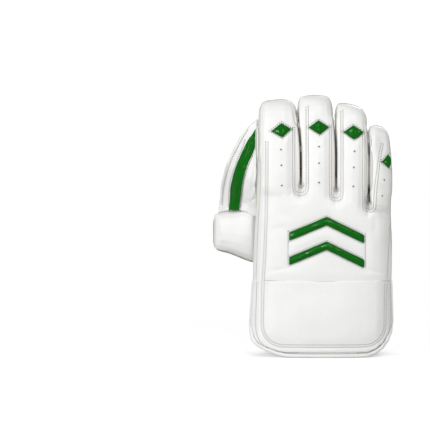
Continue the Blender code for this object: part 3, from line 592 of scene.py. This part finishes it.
def strewn(name, pattern, places):
    """One mesh of many copies of a small pattern. places: the spot, the course and the top of each."""
    shape = np.array([vertex.co for vertex in pattern.data.vertices])
    sides = [list(face.vertices) for face in pattern.data.polygons]
    points, faces = [], []
    for centre, along, top in places:
        top = top.normalized()
        across = top.cross(along).normalized()
        turn = np.array([across.cross(top), across, top])
        faces += [[corner + len(points) * len(shape) for corner in face] for face in sides]
        points.append(shape @ turn + np.array(centre))
    mesh = bpy.data.meshes.new(name)
    mesh.from_pydata(np.concatenate(points).tolist(), [], faces)
    mesh.shade_smooth()
    piece = bpy.data.objects.new(name, mesh)
    bpy.context.collection.objects.link(piece)
    bpy.data.objects.remove(pattern, do_unlink=True)
    return piece


def row_places(tree, line, pitch, share):
    """Where the stitches of one row sit, and the ways they point; share moves them along the pitch."""
    spots = evenly(line, pitch)
    places = []
    for a, b in zip(spots, spots[1:]):
        centre, top = tree.find_nearest(Vector(a + (b - a) * share))[:2]
        places.append((centre, Vector(b - a), top))
    return places


def round_pattern(segments, rings, size):
    """A small rounded body of a given length, width and height."""
    bpy.ops.mesh.primitive_uv_sphere_add(segments=segments, ring_count=rings, radius=0.5)
    pattern = bpy.context.object
    pattern.scale = size
    bpy.ops.object.transform_apply(location=False, rotation=False, scale=True)
    return pattern


def plain(name, colour, roughness, grain_depth=0.0001):
    """A small part's finish: one colour with a fine unevenness."""
    made, tree, shader = new_material(name, Roughness=roughness)
    grain = node(tree, "Group", node_tree=LEATHER_GRAIN, Cells=2200.0)
    dark = tuple(c * 0.8 for c in colour[:3]) + (1.0,)
    tree.links.new(tinted(tree, colour, grain.outputs["Mottle"], dark), shader.inputs["Base Color"])
    bumped(tree, shader, grain.outputs["Height"], 0.4, grain_depth)
    return made


THREAD = plain("White thread", (0.80, 0.79, 0.77, 1.0), 0.6)
# Near black, for the caps at stitch holes and vents: painted shade.
HOLE_SHADE = plain("Painted hole shade", (0.035, 0.035, 0.033, 1.0), 0.9)


def sew(name, skin, side, rows):
    """Sew rows of thread over a skin, with a dark cap at the end of each stitch: painted shade for its hole.
    """
    tree = tree_of(skin)
    threads, holes = [], []
    for row in rows:
        line = on_skin(tree, side, row)
        threads += row_places(tree, line, STITCH_PITCH, 0.5)
        holes += row_places(tree, line, STITCH_PITCH, HOLE_SHARE)
    thread = round_pattern(6, 4, (THREAD_LENGTH, THREAD_WIDTH, THREAD_HEIGHT))
    finish(strewn(name + "_thread", thread, threads), THREAD)
    # A dark cap at each hole: painted shade.
    hole = round_pattern(6, 4, (2 * HOLE_RADIUS, 2 * HOLE_RADIUS, 2 * HOLE_RADIUS * HOLE_DEPTH_SHARE))
    finish(strewn(name + "_holes", hole, holes), HOLE_SHADE)


sew("back_stitches", back, BACK, BACK_ROWS)
sew("trim_stitches", back, BACK, TRIM_ROWS)

# The vents: small eyelets punched through the finger backs, three to a finger and two on the little one.
# Each is a rolled ring of leather round a dark cap: painted shade for its hole.
VENTS = (
    (-27.5, 248.5), (-27.0, 230.0), (-26.5, 206.0), (18.0, 252.0), (18.0, 232.5), (18.0, 209.5),
    (60.5, 246.5), (59.5, 227.5), (59.0, 205.0), (96.0, 212.5), (93.5, 193.5),
)
VENT_RADIUS = 0.00095
VENT_ROLL = 0.00035

back_tree = tree_of(back)
vent_places = []
for x, z in VENTS:
    spot, top = seen_at(back_tree, BACK, x / 1000.0, z / 1000.0)
    vent_places.append((spot, Vector((0.0, 0.0, 1.0)), top))
bpy.ops.mesh.primitive_torus_add(
    major_segments=14, minor_segments=6, major_radius=VENT_RADIUS + VENT_ROLL, minor_radius=VENT_ROLL
)
finish(strewn("vent_rings", bpy.context.object, vent_places), WHITE_LEATHER)
# A dark cap in each vent: painted shade.
vent_hole = round_pattern(14, 6, (2 * VENT_RADIUS, 2 * VENT_RADIUS, VENT_RADIUS))
finish(strewn("vent_holes", vent_hole, vent_places), HOLE_SHADE)

# The green trim on the back: diamonds on the fingers and two chevrons over the hand, of glossy patent.
# Each is stuffed with a little foam, turned in and sewn down, so it puckers along its edge.
PATENT_VOXEL = 0.00055
# The little finger's diamond ends at the side seam, and narrows from this far past its left corner.
# A patch is laid on the nearest skin instead, where the skin under it is further off than this.
SIDE_SEAM_X = 0.1036
LITTLE_PLAIN = 0.003
LAID_WITHIN = 0.012


def carried(piece, before, after, side, squeeze=None):
    """Carry a piece along with the skin under it, from where that was to where it is now.
    squeeze: the place across where the piece starts to narrow, and the share of its width kept past it."""
    points, _ = points_of(piece)
    for i, spot in enumerate(points):
        was = before.find_nearest(Vector(spot))[0]
        x = was.x
        if squeeze and was.x > squeeze[0]:
            x = squeeze[0] + (was.x - squeeze[0]) * squeeze[1]
        now = seen_at(after, side, x, was.z)[0]
        if now is None or abs(now.y - was.y) > LAID_WITHIN:
            now = after.find_nearest(Vector((x, was.y, was.z)))[0]
        points[i] += np.array(now - was)
    move_points(piece, points)


def crinkled(piece, side, size, height):
    """Pucker a patent patch: short folds that run in from its edge, and a slight slackness in the middle."""
    points, facing = points_of(piece)
    outside = outward(facing, side)
    for i, (x, _, z) in enumerate(points):
        fold = noise.noise(Vector((x / size, 0.0, z / size * 0.45)) + Vector((3.7, 0.0, 1.3)))
        ridge = abs(noise.noise(Vector((x / size * 0.8, 5.0, z / size * 0.8))))
        points[i] += facing[i] * (outside[i] * height * (fold - 1.3 * ridge))
    move_points(piece, points)


def patent(name):
    """Green patent: a hard clear gloss over deep green, with fine creases that break up its highlights."""
    made, tree, shader = new_material(
        name, Specular_IOR_Level=0.0, Coat_Weight=0.5, Coat_Roughness=0.05, Coat_IOR=1.4
    )
    grain = node(tree, "Group", node_tree=LEATHER_GRAIN, Cells=420.0, Mottling=130.0)
    used = node(tree, "Group", node_tree=HANDLING)
    toned = tinted(tree, (0.0, 0.145, 0.001, 1.0), grain.outputs["Mottle"], (0.0, 0.080, 0.001, 1.0))
    tree.links.new(toned, shader.inputs["Base Color"])
    tree.links.new(scaled(tree, used.outputs["Scuffs"], 0.15, 0.4), shader.inputs["Roughness"])
    bumped(tree, shader, grain.outputs["Height"], 0.3, 0.0004)
    return made


GREEN_PATENT = patent("Green patent")
# The size and height of the folds in the two kinds of patches
DIAMOND_FOLDS, CHEVRON_FOLDS = (0.0062, 0.0009), (0.0085, 0.0005)
little_low, little_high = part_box("diamond_little")
little_start = little_low[0] + LITTLE_PLAIN
little_squeeze = (little_start, (SIDE_SEAM_X - little_start) / (little_high[0] - little_start))
for shape in (
    "diamond_index", "diamond_middle", "diamond_ring", "diamond_little", "chevron_upper", "chevron_lower",
):
    patch = cut_from(shape, shape + "_patent", PATENT_VOXEL, 4)
    carried(patch, plain_back, back_tree, BACK, little_squeeze if shape == "diamond_little" else None)
    crinkled(patch, BACK, *(DIAMOND_FOLDS if shape.startswith("diamond") else CHEVRON_FOLDS))
    finish(patch, GREEN_PATENT)

# The palm and the finger fronts: pale grey-green rubber on a backing, covered in pimples that grip the ball.
# Hands have creased it across the palm and at the thumb's mound.
RUBBER_VOXEL = 0.0012
PIMPLE_PITCH = 0.00225
PIMPLE_WIDE, PIMPLE_NARROW, PIMPLE_HEIGHT, PIMPLE_RISE = 0.00088, 0.00042, 0.00095, 0.0003


def rubber(name):
    """Matte rubber with a bloom: greyer where handled, seams greyed by dirt and painted shade, slits painted
    dark as shade.
    """
    made, tree, shader = new_material(name, Specular_IOR_Level=0.3)
    grain = node(tree, "Group", node_tree=LEATHER_GRAIN, Cells=1500.0)
    used = node(tree, "Group", node_tree=HANDLING)
    seam = node(tree, "Attribute", attribute_name="Seam")
    toned = tinted(tree, (0.72, 0.745, 0.72, 1.0), grain.outputs["Mottle"], (0.63, 0.655, 0.63, 1.0))
    marked = tinted(tree, toned, scaled(tree, used.outputs["Marks"], 0.35), (0.54, 0.55, 0.51, 1.0))
    # Seams grey: partly dirt, partly painted shade in their grooves.
    sewn = tinted(tree, marked, scaled(tree, seam.outputs["Fac"], 0.4), (0.40, 0.41, 0.38, 1.0))
    # Painted shade: the rubber's slit walls are blended to near black.
    slit_shade = node(tree, "Attribute", attribute_name="Painted slit shade")
    tree.links.new(tinted(tree, sewn, slit_shade.outputs["Fac"], SLIT_SHADE_GREY), shader.inputs["Base Color"])
    tree.links.new(scaled(tree, used.outputs["Marks"], -0.12, 0.72), shader.inputs["Roughness"])
    bumped(tree, shader, grain.outputs["Height"], 0.5, 0.00012)
    return made


PIMPLED_RUBBER = rubber("Pimpled rubber")


def pimpled(name, skin, side, box, lean=0.22):
    """Set pimples over one face of a skin in staggered rows. box: least and most across and up, in metres."""
    tree = tree_of(skin)
    bpy.ops.mesh.primitive_cone_add(
        vertices=6, radius1=PIMPLE_WIDE, radius2=PIMPLE_NARROW, depth=PIMPLE_HEIGHT
    )
    pattern = bpy.context.object
    low_x, high_x, low_z, high_z = box
    places = []
    rise = PIMPLE_PITCH * math.sqrt(3.0) / 2.0
    for row in range(int((high_z - low_z) / rise)):
        z = low_z + row * rise
        for k in range(int((high_x - low_x) / PIMPLE_PITCH)):
            x = low_x + (k + (row % 2) / 2.0) * PIMPLE_PITCH
            spot, top = seen_at(tree, side, x, z)
            if spot is not None and top.y * side > lean:
                places.append((spot + top * PIMPLE_RISE, Vector((1.0, 0.0, 0.0)), top))
    finish(strewn(name, pattern, places), PIMPLED_RUBBER)


PALM_ROWS = [
    curve(((-50.0, 118.0), (-53.0, 96.0))),
    curve(((102.0, 205.0), (103.0, 160.0), (101.0, 120.0), (99.5, 92.0))),
]
palm = cut_from("palm_shell", "palm_rubber", RUBBER_VOXEL, 9)
let_out(palm, 0.094, 0.0900, -0.0018)
pressed(palm, SLITS)
sewn_down(palm, PALM, PALM_ROWS, (0.0003, 0.0011), (0.0007, 0.0050))
rolled(palm, PALM, (
    (((2, 196), (22, 206), (46, 203), (70, 192)), -1.8, 4.2),
    (((-20, 222), (4, 214), (28, 216)), -1.2, 4.0),
    (((5, 108), (12, 130), (10, 155), (-4, 176)), -2.0, 4.5),
    (((30, 112), (52, 128), (78, 138)), -1.2, 5.0),
    (((-42, 262), (-28, 259), (-14, 262)), -1.2, 2.8),
    (((-42, 284), (-28, 281), (-14, 284)), -0.9, 2.6),
    (((2, 266), (16, 263), (32, 266)), -1.2, 2.8),
    (((2, 289), (16, 286), (30, 289)), -0.9, 2.6),
    (((44, 262), (58, 259), (72, 262)), -1.2, 2.8),
    (((44, 282), (58, 279), (70, 281)), -0.9, 2.6),
    (((82, 240), (92, 238), (101, 240)), -1.2, 2.6),
))
uneven(palm, PALM, ((0.034, 0.0010), (0.011, 0.0003)))
finish(palm, PIMPLED_RUBBER)
pimpled("palm_pimples", palm, PALM, (-0.060, 0.107, 0.096, 0.306))

# The thumb: a short, fat stall that leaves the palm's side. Its back is padded white leather.
# Its front is the same rubber as the palm, and its mound is sewn onto the palm.
HEEL_DROP, ROOT_LIFT = 0.0060, 0.0032
# Where the thumb's root ends, and its fade; then the same for the heel and the lift, across and up
THUMB_ROOT, ROOT_FADE = -0.052, 0.004
HEEL_START, HEEL_RUN, HEEL_TOP, HEEL_FADE = -0.097, 0.036, 0.152, 0.034
LIFT_START, LIFT_RUN, LIFT_FOOT, LIFT_FADE = -0.080, 0.020, 0.150, 0.016


def filled_out(piece):
    """Let the thumb's lower edge run down towards its root, and its upper edge stand up there."""
    points, _ = points_of(piece)
    x, z = points[:, 0], points[:, 2]
    root = ease((THUMB_ROOT - x) / ROOT_FADE + 1.0)
    inward = ease((x - HEEL_START) / HEEL_RUN) * root
    low = ease((HEEL_TOP - z) / HEEL_FADE)
    high = ease((z - LIFT_FOOT) / LIFT_FADE) * ease((x - LIFT_START) / LIFT_RUN)
    points[:, 2] += ROOT_LIFT * high * root - HEEL_DROP * low * inward
    move_points(piece, points)


thumb_back = cut_from("thumb_back", "thumb_leather", LEATHER_VOXEL, 10)
filled_out(thumb_back)
rolled(thumb_back, BACK, (
    (((-98.5, 136), (-97, 130), (-95, 126)), -1.4, 1.2),
    (((-94.5, 135), (-93, 130), (-91.5, 126.5)), -1.0, 1.1),
    (((-57, 172), (-57.5, 150), (-57, 110)), -2.6, 2.6),
    (((-88, 163), (-80, 160), (-70, 161)), -0.6, 4.0),
))
uneven(thumb_back, BACK, ((0.026, 0.0009), (0.009, 0.00022)))
finish(thumb_back, WHITE_LEATHER)

thumb_front = cut_from("thumb_palm", "thumb_rubber", RUBBER_VOXEL, 9)
filled_out(thumb_front)
rolled(thumb_front, PALM, (
    (((-62, 170), (-60, 148), (-62, 122)), -1.4, 3.2),
    (((-84, 168), (-83, 148), (-84, 124)), -1.0, 3.0),
    (((-30, 172), (-20, 150), (-24, 120)), -1.2, 4.0),
))
uneven(thumb_front, PALM, ((0.026, 0.0009), (0.009, 0.00022)))
finish(thumb_front, PIMPLED_RUBBER)
pimpled("thumb_pimples", thumb_front, PALM, (-0.107, 0.004, 0.096, 0.182), 0.15)

# The web between thumb and index finger: two skins sewn back to back, leather behind and rubber in front.
# It is slack, so it hangs in shallow folds from the finger's side. Its free edge is turned in over a cord.
WEB_VOXEL = 0.00085
WEB_ROW_INSET = 2.8
STRIPE_ROW_INSET = 1.0


def smoothed(line, rounds):
    for _ in range(rounds):
        line[1:-1] = (line[:-2] + 2.0 * line[1:-1] + line[2:]) / 4.0
    return line


def edge_of(shape, side, low, high, gap=0.0):
    """A line up the left (-1) or right (1) edge of a CAD node, seen from the back; a gap moves it left."""
    flat = np.array([(vertex.co.x, vertex.co.z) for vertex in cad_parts[shape].data.vertices]) * 1000.0
    line = []
    for z in np.arange(low, high, 6.0):
        near = flat[abs(flat[:, 1] - z) < 4.5]
        line.append((side * (side * near[:, 0]).max(), z))
    return beside(smoothed(np.array(line), 4), -gap)


# How far the slack web hangs to the right of its cut shape, by height in millimetres, and the strip on it
WEB_HANG = ((183.0, 3.0), (211.0, 1.2), (225.0, 0.0), (239.0, -0.9), (254.0, -1.8), (264.0, -3.2))
STRIPE_HANG = ((183.0, 0.6), (225.0, 0.0), (239.0, -0.8), (254.0, -2.0), (264.0, -3.6))
# The web is held at the finger's side and hangs freely this far from it
WEB_HELD, HANG_REACH = -52.0, 17.0


def hung(flat, hang):
    """How far places across and up are moved across; it fades out at the finger's side."""
    heights, shifts = np.array(hang).T
    return np.interp(flat[:, 1], heights, shifts) * ease((WEB_HELD - flat[:, 0]) / HANG_REACH)


def hang_on(piece, hang):
    points, _ = points_of(piece)
    points[:, 0] += hung(points[:, (0, 2)] * 1000.0, hang) / 1000.0
    move_points(piece, points)


def hung_edge(shape, side, low, high, hang, gap=0.0):
    line = edge_of(shape, side, low, high, gap)
    line[:, 0] += hung(line, hang)
    return line


WEB_EDGE = hung_edge("web_back", -1, 178.0, 278.0, WEB_HANG)
STRIPE_LEFT = hung_edge("web_stripe", -1, 176.0, 262.0, STRIPE_HANG, STRIPE_ROW_INSET)
STRIPE_RIGHT = hung_edge("web_stripe", 1, 176.0, 246.0, STRIPE_HANG, -STRIPE_ROW_INSET)
WEB_ROW = beside(WEB_EDGE, WEB_ROW_INSET)
web_folds = (
    (((-56, 262), (-59, 240), (-64, 214), (-68, 186)), -1.6, 2.6),
    (((-54.5, 240), (-57, 222), (-61, 200), (-63, 180)), 1.3, 3.0),
    (((-54.5, 222), (-57, 206), (-63, 196), (-70, 178)), -1.2, 2.2),
    (((-57, 188), (-64, 183), (-70, 174)), -1.0, 2.0),
)
web_back = cut_from("web_back", "web_leather", WEB_VOXEL, 8)
hang_on(web_back, WEB_HANG)
plain_web = tree_of(web_back)
sewn_down(web_back, BACK, [WEB_ROW, STRIPE_LEFT, STRIPE_RIGHT], (0.0001, 0.0009), (0.0004, 0.003))
rolled(web_back, BACK, web_folds)
uneven(web_back, BACK, ((0.022, 0.0006), (0.008, 0.0002)))
finish(web_back, WHITE_LEATHER)
sew("web_stitches", web_back, BACK, [WEB_ROW])

web_front = cut_from("web_palm", "web_rubber", WEB_VOXEL, 8)
hang_on(web_front, WEB_HANG)
uneven(web_front, PALM, ((0.022, 0.0007), (0.008, 0.0002)))
finish(web_front, PIMPLED_RUBBER)
pimpled("web_pimples", web_front, PALM, (-0.106, -0.052, 0.165, 0.285), 0.12)

# The green strip along the web's back: one long roll of patent over foam, sewn down along both edges.
# Its length is bent round the web's curve, so it is full of long creases.
STRIPE_CREASE = 0.0040


def creased_along(piece, middle, height):
    """Fold a strip in long creases that follow its course."""
    points, facing = points_of(piece)
    line = evenly(middle, 2.0) / 1000.0
    outside = outward(facing, BACK)
    off = off_line(points[:, (0, 2)], line)
    for i, (x, y, z) in enumerate(points):
        wave = noise.noise(Vector((off[i] / STRIPE_CREASE, 0.0, z / 0.021)))
        points[i] += facing[i] * (outside[i] * height * (wave - abs(noise.noise(Vector((x, y, z)) / 0.009))))
    move_points(piece, points)


stripe = cut_from("web_stripe", "web_stripe_patent", PATENT_VOXEL, 4)
hang_on(stripe, STRIPE_HANG)
carried(stripe, plain_web, tree_of(web_back), BACK)
creased_along(stripe, hung_edge("web_stripe", -1, 176.0, 262.0, STRIPE_HANG), 0.0012)
finish(stripe, GREEN_PATENT)
sew("stripe_stitches", web_back, BACK, [STRIPE_LEFT, STRIPE_RIGHT])

# The cuff: a padded leather panel behind the wrist and one in front, sewn to the hand along one seam.
# Two rows of stitching frame each pad, and the palm's panel is quilted in one large V.
CUFF_VOXEL = 0.0013
CUFF_OUTER = u_row(-57.6, 104.6, 5.8, (86.0, 86.0), 27.0, (1.6, -0.6), 2.0)
CUFF_ROWS = {
    "back": [
        CUFF_OUTER,
        u_row(-51.0, 98.6, 11.6, (86.5, 86.5), 24.0, (0.9, 1.2), 2.6),
        u_row(-48.3, 96.0, 14.2, (86.5, 86.5), 21.5, (0.9, 1.2), 2.6),
    ],
    "palm": [
        CUFF_OUTER,
        u_row(-50.5, 97.0, 12.0, (84.0, 84.0), 20.0, (0.0, 0.0), 2.4),
        np.array(((-52.0, 84.6), (99.0, 84.6))), np.array(((-52.0, 80.6), (99.0, 80.6))),
        np.array(((-46.8, 79.0), (23.4, 16.6), (92.5, 79.0))),
    ],
}
# The squarer corner: its shift, height and reach, and where across the shift starts and its fade
CORNER_SHIFT, CORNER_HEIGHT, CORNER_REACH, CORNER_START, CORNER_FADE = 5.2, 17.0, 12.0, -28.0, 24.0


def squared_corner(piece):
    """Fill out the cuff's lower corner at the thumb's side, which is squarer than the other one."""
    points, _ = points_of(piece)
    flat = points[:, (0, 2)] * 1000.0
    low = np.exp(-(((flat[:, 1] - CORNER_HEIGHT) / CORNER_REACH) ** 2))
    points[:, 0] -= CORNER_SHIFT / 1000.0 * low * ease((CORNER_START - flat[:, 0]) / CORNER_FADE)
    move_points(piece, points)


CUFF_LEATHER = leather("Cuff leather", (0.80, 0.80, 0.79, 1.0), (0.74, 0.74, 0.73, 1.0), 0.46, 0.00026)
for face, side in (("back", BACK), ("palm", PALM)):
    panel = cut_from("cuff_" + face, "cuff_leather_" + face, CUFF_VOXEL, 10)
    squared_corner(panel)
    let_out(panel, 0.084, 0.0890, 0.0026)
    sewn_down(panel, side, CUFF_ROWS[face], (0.0001, 0.0011), (0.0013, 0.0055))
    uneven(panel, side, ((0.045, 0.0009), (0.014, 0.0003)))
    finish(panel, CUFF_LEATHER)
    sew("cuff_stitches_" + face, panel, side, CUFF_ROWS[face])

# The binding round the cuff's free edges: a strip of leather rolled over the edge and sewn through.
BINDING_VOXEL = 0.0007
BINDING_LEATHER = leather("Binding leather", (0.80, 0.80, 0.79, 1.0), (0.72, 0.715, 0.70, 1.0), 0.45, 0.0002)
for face, side in (("back", BACK), ("palm", PALM)):
    roll = cut_from("binding_" + face, "binding_leather_" + face, BINDING_VOXEL, 24)
    squared_corner(roll)
    uneven(roll, side, ((0.012, 0.0003),))
    finish(roll, BINDING_LEATHER)

# The beads in the seams: a thin rolled strip of raw leather is sewn in where the leather back meets the palm.
# It runs up each finger, over its tip and down again, round the thumb, and along both lips of each slit.
BEAD_RADIUS = 0.0011
LIP_RADIUS = 0.0006
LIP_INSET = 0.8
RAW_EDGE = leather("Raw leather edge", (0.54, 0.50, 0.43, 1.0), (0.44, 0.40, 0.34, 1.0), 0.6, 0.0002)
DARK_EDGE = leather("Thumb edge", (0.40, 0.36, 0.31, 1.0), (0.30, 0.27, 0.23, 1.0), 0.6, 0.0002)
BEADS = (
    ("index", ((-57, 178), (-56, 205), (-54.6, 245), (-53.6, 286), (-52.4, 296), (-48, 303),
               (-33, 305.6), (-18, 305), (-11, 299), (-8.6, 290))),
    ("middle", ((-7.2, 290), (-7.3, 297), (-4, 307), (12, 311), (28, 309.5), (33.5, 301),
                (35.3, 288))),
    ("ring", ((37.8, 286), (38.2, 293), (42, 301), (54, 301.5), (66, 297), (73, 289),
              (75.8, 276))),
    ("little", ((77.2, 262), (79.5, 272), (87, 275.6), (96, 272), (102, 259), (104.6, 235),
                (105.8, 204), (105.4, 160), (104.9, 120), (104.5, 91.5))),
)
THUMB_TOP = ((-62, 176), (-75, 173), (-90, 170.5), (-100, 168))
THUMB_END = ((-100, 168), (-106, 161), (-108.2, 150), (-108.4, 138), (-106, 127),
             (-99, 120.5), (-85, 115), (-72, 110), (-60, 107))
# The thumb seam's depth, at its end and at the heel, and the height and run of the change
THUMB_DEPTH, HEEL_DEPTH, HEEL_LOW, HEEL_RISE = 0.0247, 0.0225, 0.120, 0.010
THUMB_END_RADIUS = 0.0014


def bead(name, line, radius, material):
    """A thin rolled strip along a line, as a mesh."""
    bpy.ops.curve.primitive_nurbs_path_add(radius=1.0, location=(0.0, 0.0, 0.0))
    piece = bpy.context.object
    piece.name = name
    piece.data.splines.clear()
    spline = piece.data.splines.new("POLY")
    spline.points.add(len(line) - 1)
    spline.points.foreach_set("co", np.hstack([line, np.ones((len(line), 1))]).ravel())
    piece.data.bevel_depth = radius
    piece.data.bevel_resolution = 2
    piece.data.use_fill_caps = True
    bpy.ops.object.convert(target="MESH")
    piece = bpy.context.object
    bpy.ops.object.shade_smooth()
    piece.data.materials.clear()
    finish(piece, material)


def seam_line(trees, corners, depth_at):
    """A line along a side seam: each place is moved to the nearest skin."""
    line = []
    for x, z in evenly(curve(corners), 2.0) / 1000.0:
        spot = Vector((x, depth_at(z), z))
        found = [tree.find_nearest(spot) for tree in trees]
        nearest = min(found, key=lambda hit: hit[3])[0]
        line.append((nearest.x, spot.y, nearest.z))
    return smoothed(np.array(line), 3)


def lip_line(tree, across, lean, foot, shoulder):
    """Both lips of a slit, from one finger's shoulder round the slit's foot to the other's."""
    lips = {-1: [], 1: []}
    for x, z in slit_line(across, lean, foot + 2.5, shoulder - 12.0):
        spot = Vector((x / 1000.0, part_depth(z / 1000.0) - 0.004, z / 1000.0))
        for side in lips:
            wall = tree.ray_cast(spot, Vector((side, 0.0, 0.0)), 0.006)[0]
            if wall is not None:
                lips[side].append((wall.x * 1000.0 + side * LIP_INSET, z))
    turn = np.linspace(0.0, math.pi, 7)
    half = (lips[1][0][0] - lips[-1][0][0]) / 2.0
    bend = [(across - half * math.cos(t), foot + 2.5 - half * math.sin(t)) for t in turn]
    return on_skin(tree, BACK, np.array(lips[-1][::-1] + bend + lips[1]))


palm_tree = tree_of(palm)
for name, corners in BEADS:
    bead("bead_" + name, seam_line((back_tree, palm_tree), corners, part_depth), BEAD_RADIUS, RAW_EDGE)
for name, slit in zip(("index", "middle", "ring"), SLITS):
    bead("slit_lip_" + name, smoothed(lip_line(back_tree, *slit), 6), LIP_RADIUS, RAW_EDGE)
thumb_trees = [tree_of(piece) for piece in (thumb_back, thumb_front)]
bead("bead_thumb_top", seam_line(thumb_trees, THUMB_TOP, lambda z: THUMB_DEPTH), BEAD_RADIUS, RAW_EDGE)
bead("bead_thumb_end", seam_line(
    thumb_trees, THUMB_END,
    lambda z: HEEL_DEPTH + (THUMB_DEPTH - HEEL_DEPTH) * float(ease((z - HEEL_LOW) / HEEL_RISE)),
), THUMB_END_RADIUS, DARK_EDGE)

# The piping on the index finger's outer side and on the web's free edge: thin white cord under the leather.
# It stands up as a narrow ridge.
PIPING_RADIUS = 0.0008
# The web's free edge: its depth at its foot, how far it comes forward over 100 mm, and the foot's height
EDGE_DEPTH, EDGE_RUN, EDGE_FOOT = 0.012, 0.018, 178.0
INDEX_PIPING = curve(((-46.5, 303.0), (-48.4, 290.0), (-48.6, 260.0), (-49.4, 203.0)))
bead("piping_index", smoothed(on_skin(back_tree, BACK, INDEX_PIPING), 6), PIPING_RADIUS, WHITE_LEATHER)
web_tree = tree_of(web_back)
web_line = np.array([tuple(web_tree.find_nearest(Vector(spot))[0]) for spot in [
    (x / 1000.0, EDGE_DEPTH - EDGE_RUN * ((z - EDGE_FOOT) / 100.0), z / 1000.0)
    for x, z in evenly(WEB_EDGE, 2.0)
]])
bead("piping_web", smoothed(web_line, 4), PIPING_RADIUS, WHITE_LEATHER)

# The floor: one white surface, far larger than the view, under soft light in a white room.
# A tall narrow light stands at the left, a small bright one near the camera makes the glints, a broad one
# hangs at the upper right, and one far behind lights the palm.
FLOOR_SIZE = 40.0
FLOOR_GLOW = 0.52
ROOM_LIGHT = 0.48
bpy.ops.mesh.primitive_plane_add(size=FLOOR_SIZE, location=(0.0, 0.0, 0.0))
floor = bpy.context.object
floor.name = "floor"
FLOOR_WHITE, floor_tree, floor_shader = new_material(
    "White floor", Roughness=0.9, Specular_IOR_Level=0.1, Emission_Color=(1.0, 1.0, 1.0, 1.0)
)
straight = node(floor_tree, "LightPath")
glow = scaled(floor_tree, straight.outputs["Is Camera Ray"], FLOOR_GLOW)
floor_tree.links.new(glow, floor_shader.inputs["Emission Strength"])
cloudy = node(floor_tree, "TexNoise", Scale=2.0)
floor_tone = tinted(floor_tree, (0.62, 0.62, 0.62, 1.0), cloudy.outputs["Fac"], (0.60, 0.60, 0.60, 1.0))
floor_tree.links.new(floor_tone, floor_shader.inputs["Base Color"])
floor.data.materials.append(FLOOR_WHITE)


def soft_light(name, place, width, height, power):
    bpy.ops.object.light_add(type="AREA", location=place)
    light = bpy.context.object
    light.name = name
    light.data.shape = "RECTANGLE"
    light.data.size = width
    light.data.size_y = height
    light.data.energy = power
    light.rotation_euler = (Vector((0.0, 0.0, 0.12)) - Vector(place)).to_track_quat("-Z", "Y").to_euler()


soft_light("key", (-1.75, -1.5, 0.85), 0.2, 1.6, 22.0)
soft_light("front", (-0.55, -2.5, 0.95), 0.26, 0.26, 10.0)
soft_light("upper right", (0.6, -2.0, 1.6), 0.8, 0.8, 18.0)
soft_light("behind", (1.8, 7.5, 3.2), 2.5, 2.5, 200.0)
world = bpy.data.worlds.new("White room")
world.use_nodes = True
room = world.node_tree.nodes["Background"]
room.inputs["Color"].default_value = (1.0, 1.0, 1.0, 1.0)
seen = node(world.node_tree, "LightPath")
world.node_tree.links.new(
    scaled(world.node_tree, seen.outputs["Is Camera Ray"], 1.0 - ROOM_LIGHT, ROOM_LIGHT),
    room.inputs["Strength"],
)
bpy.context.scene.world = world
bpy.context.scene.view_settings.view_transform = "Standard"
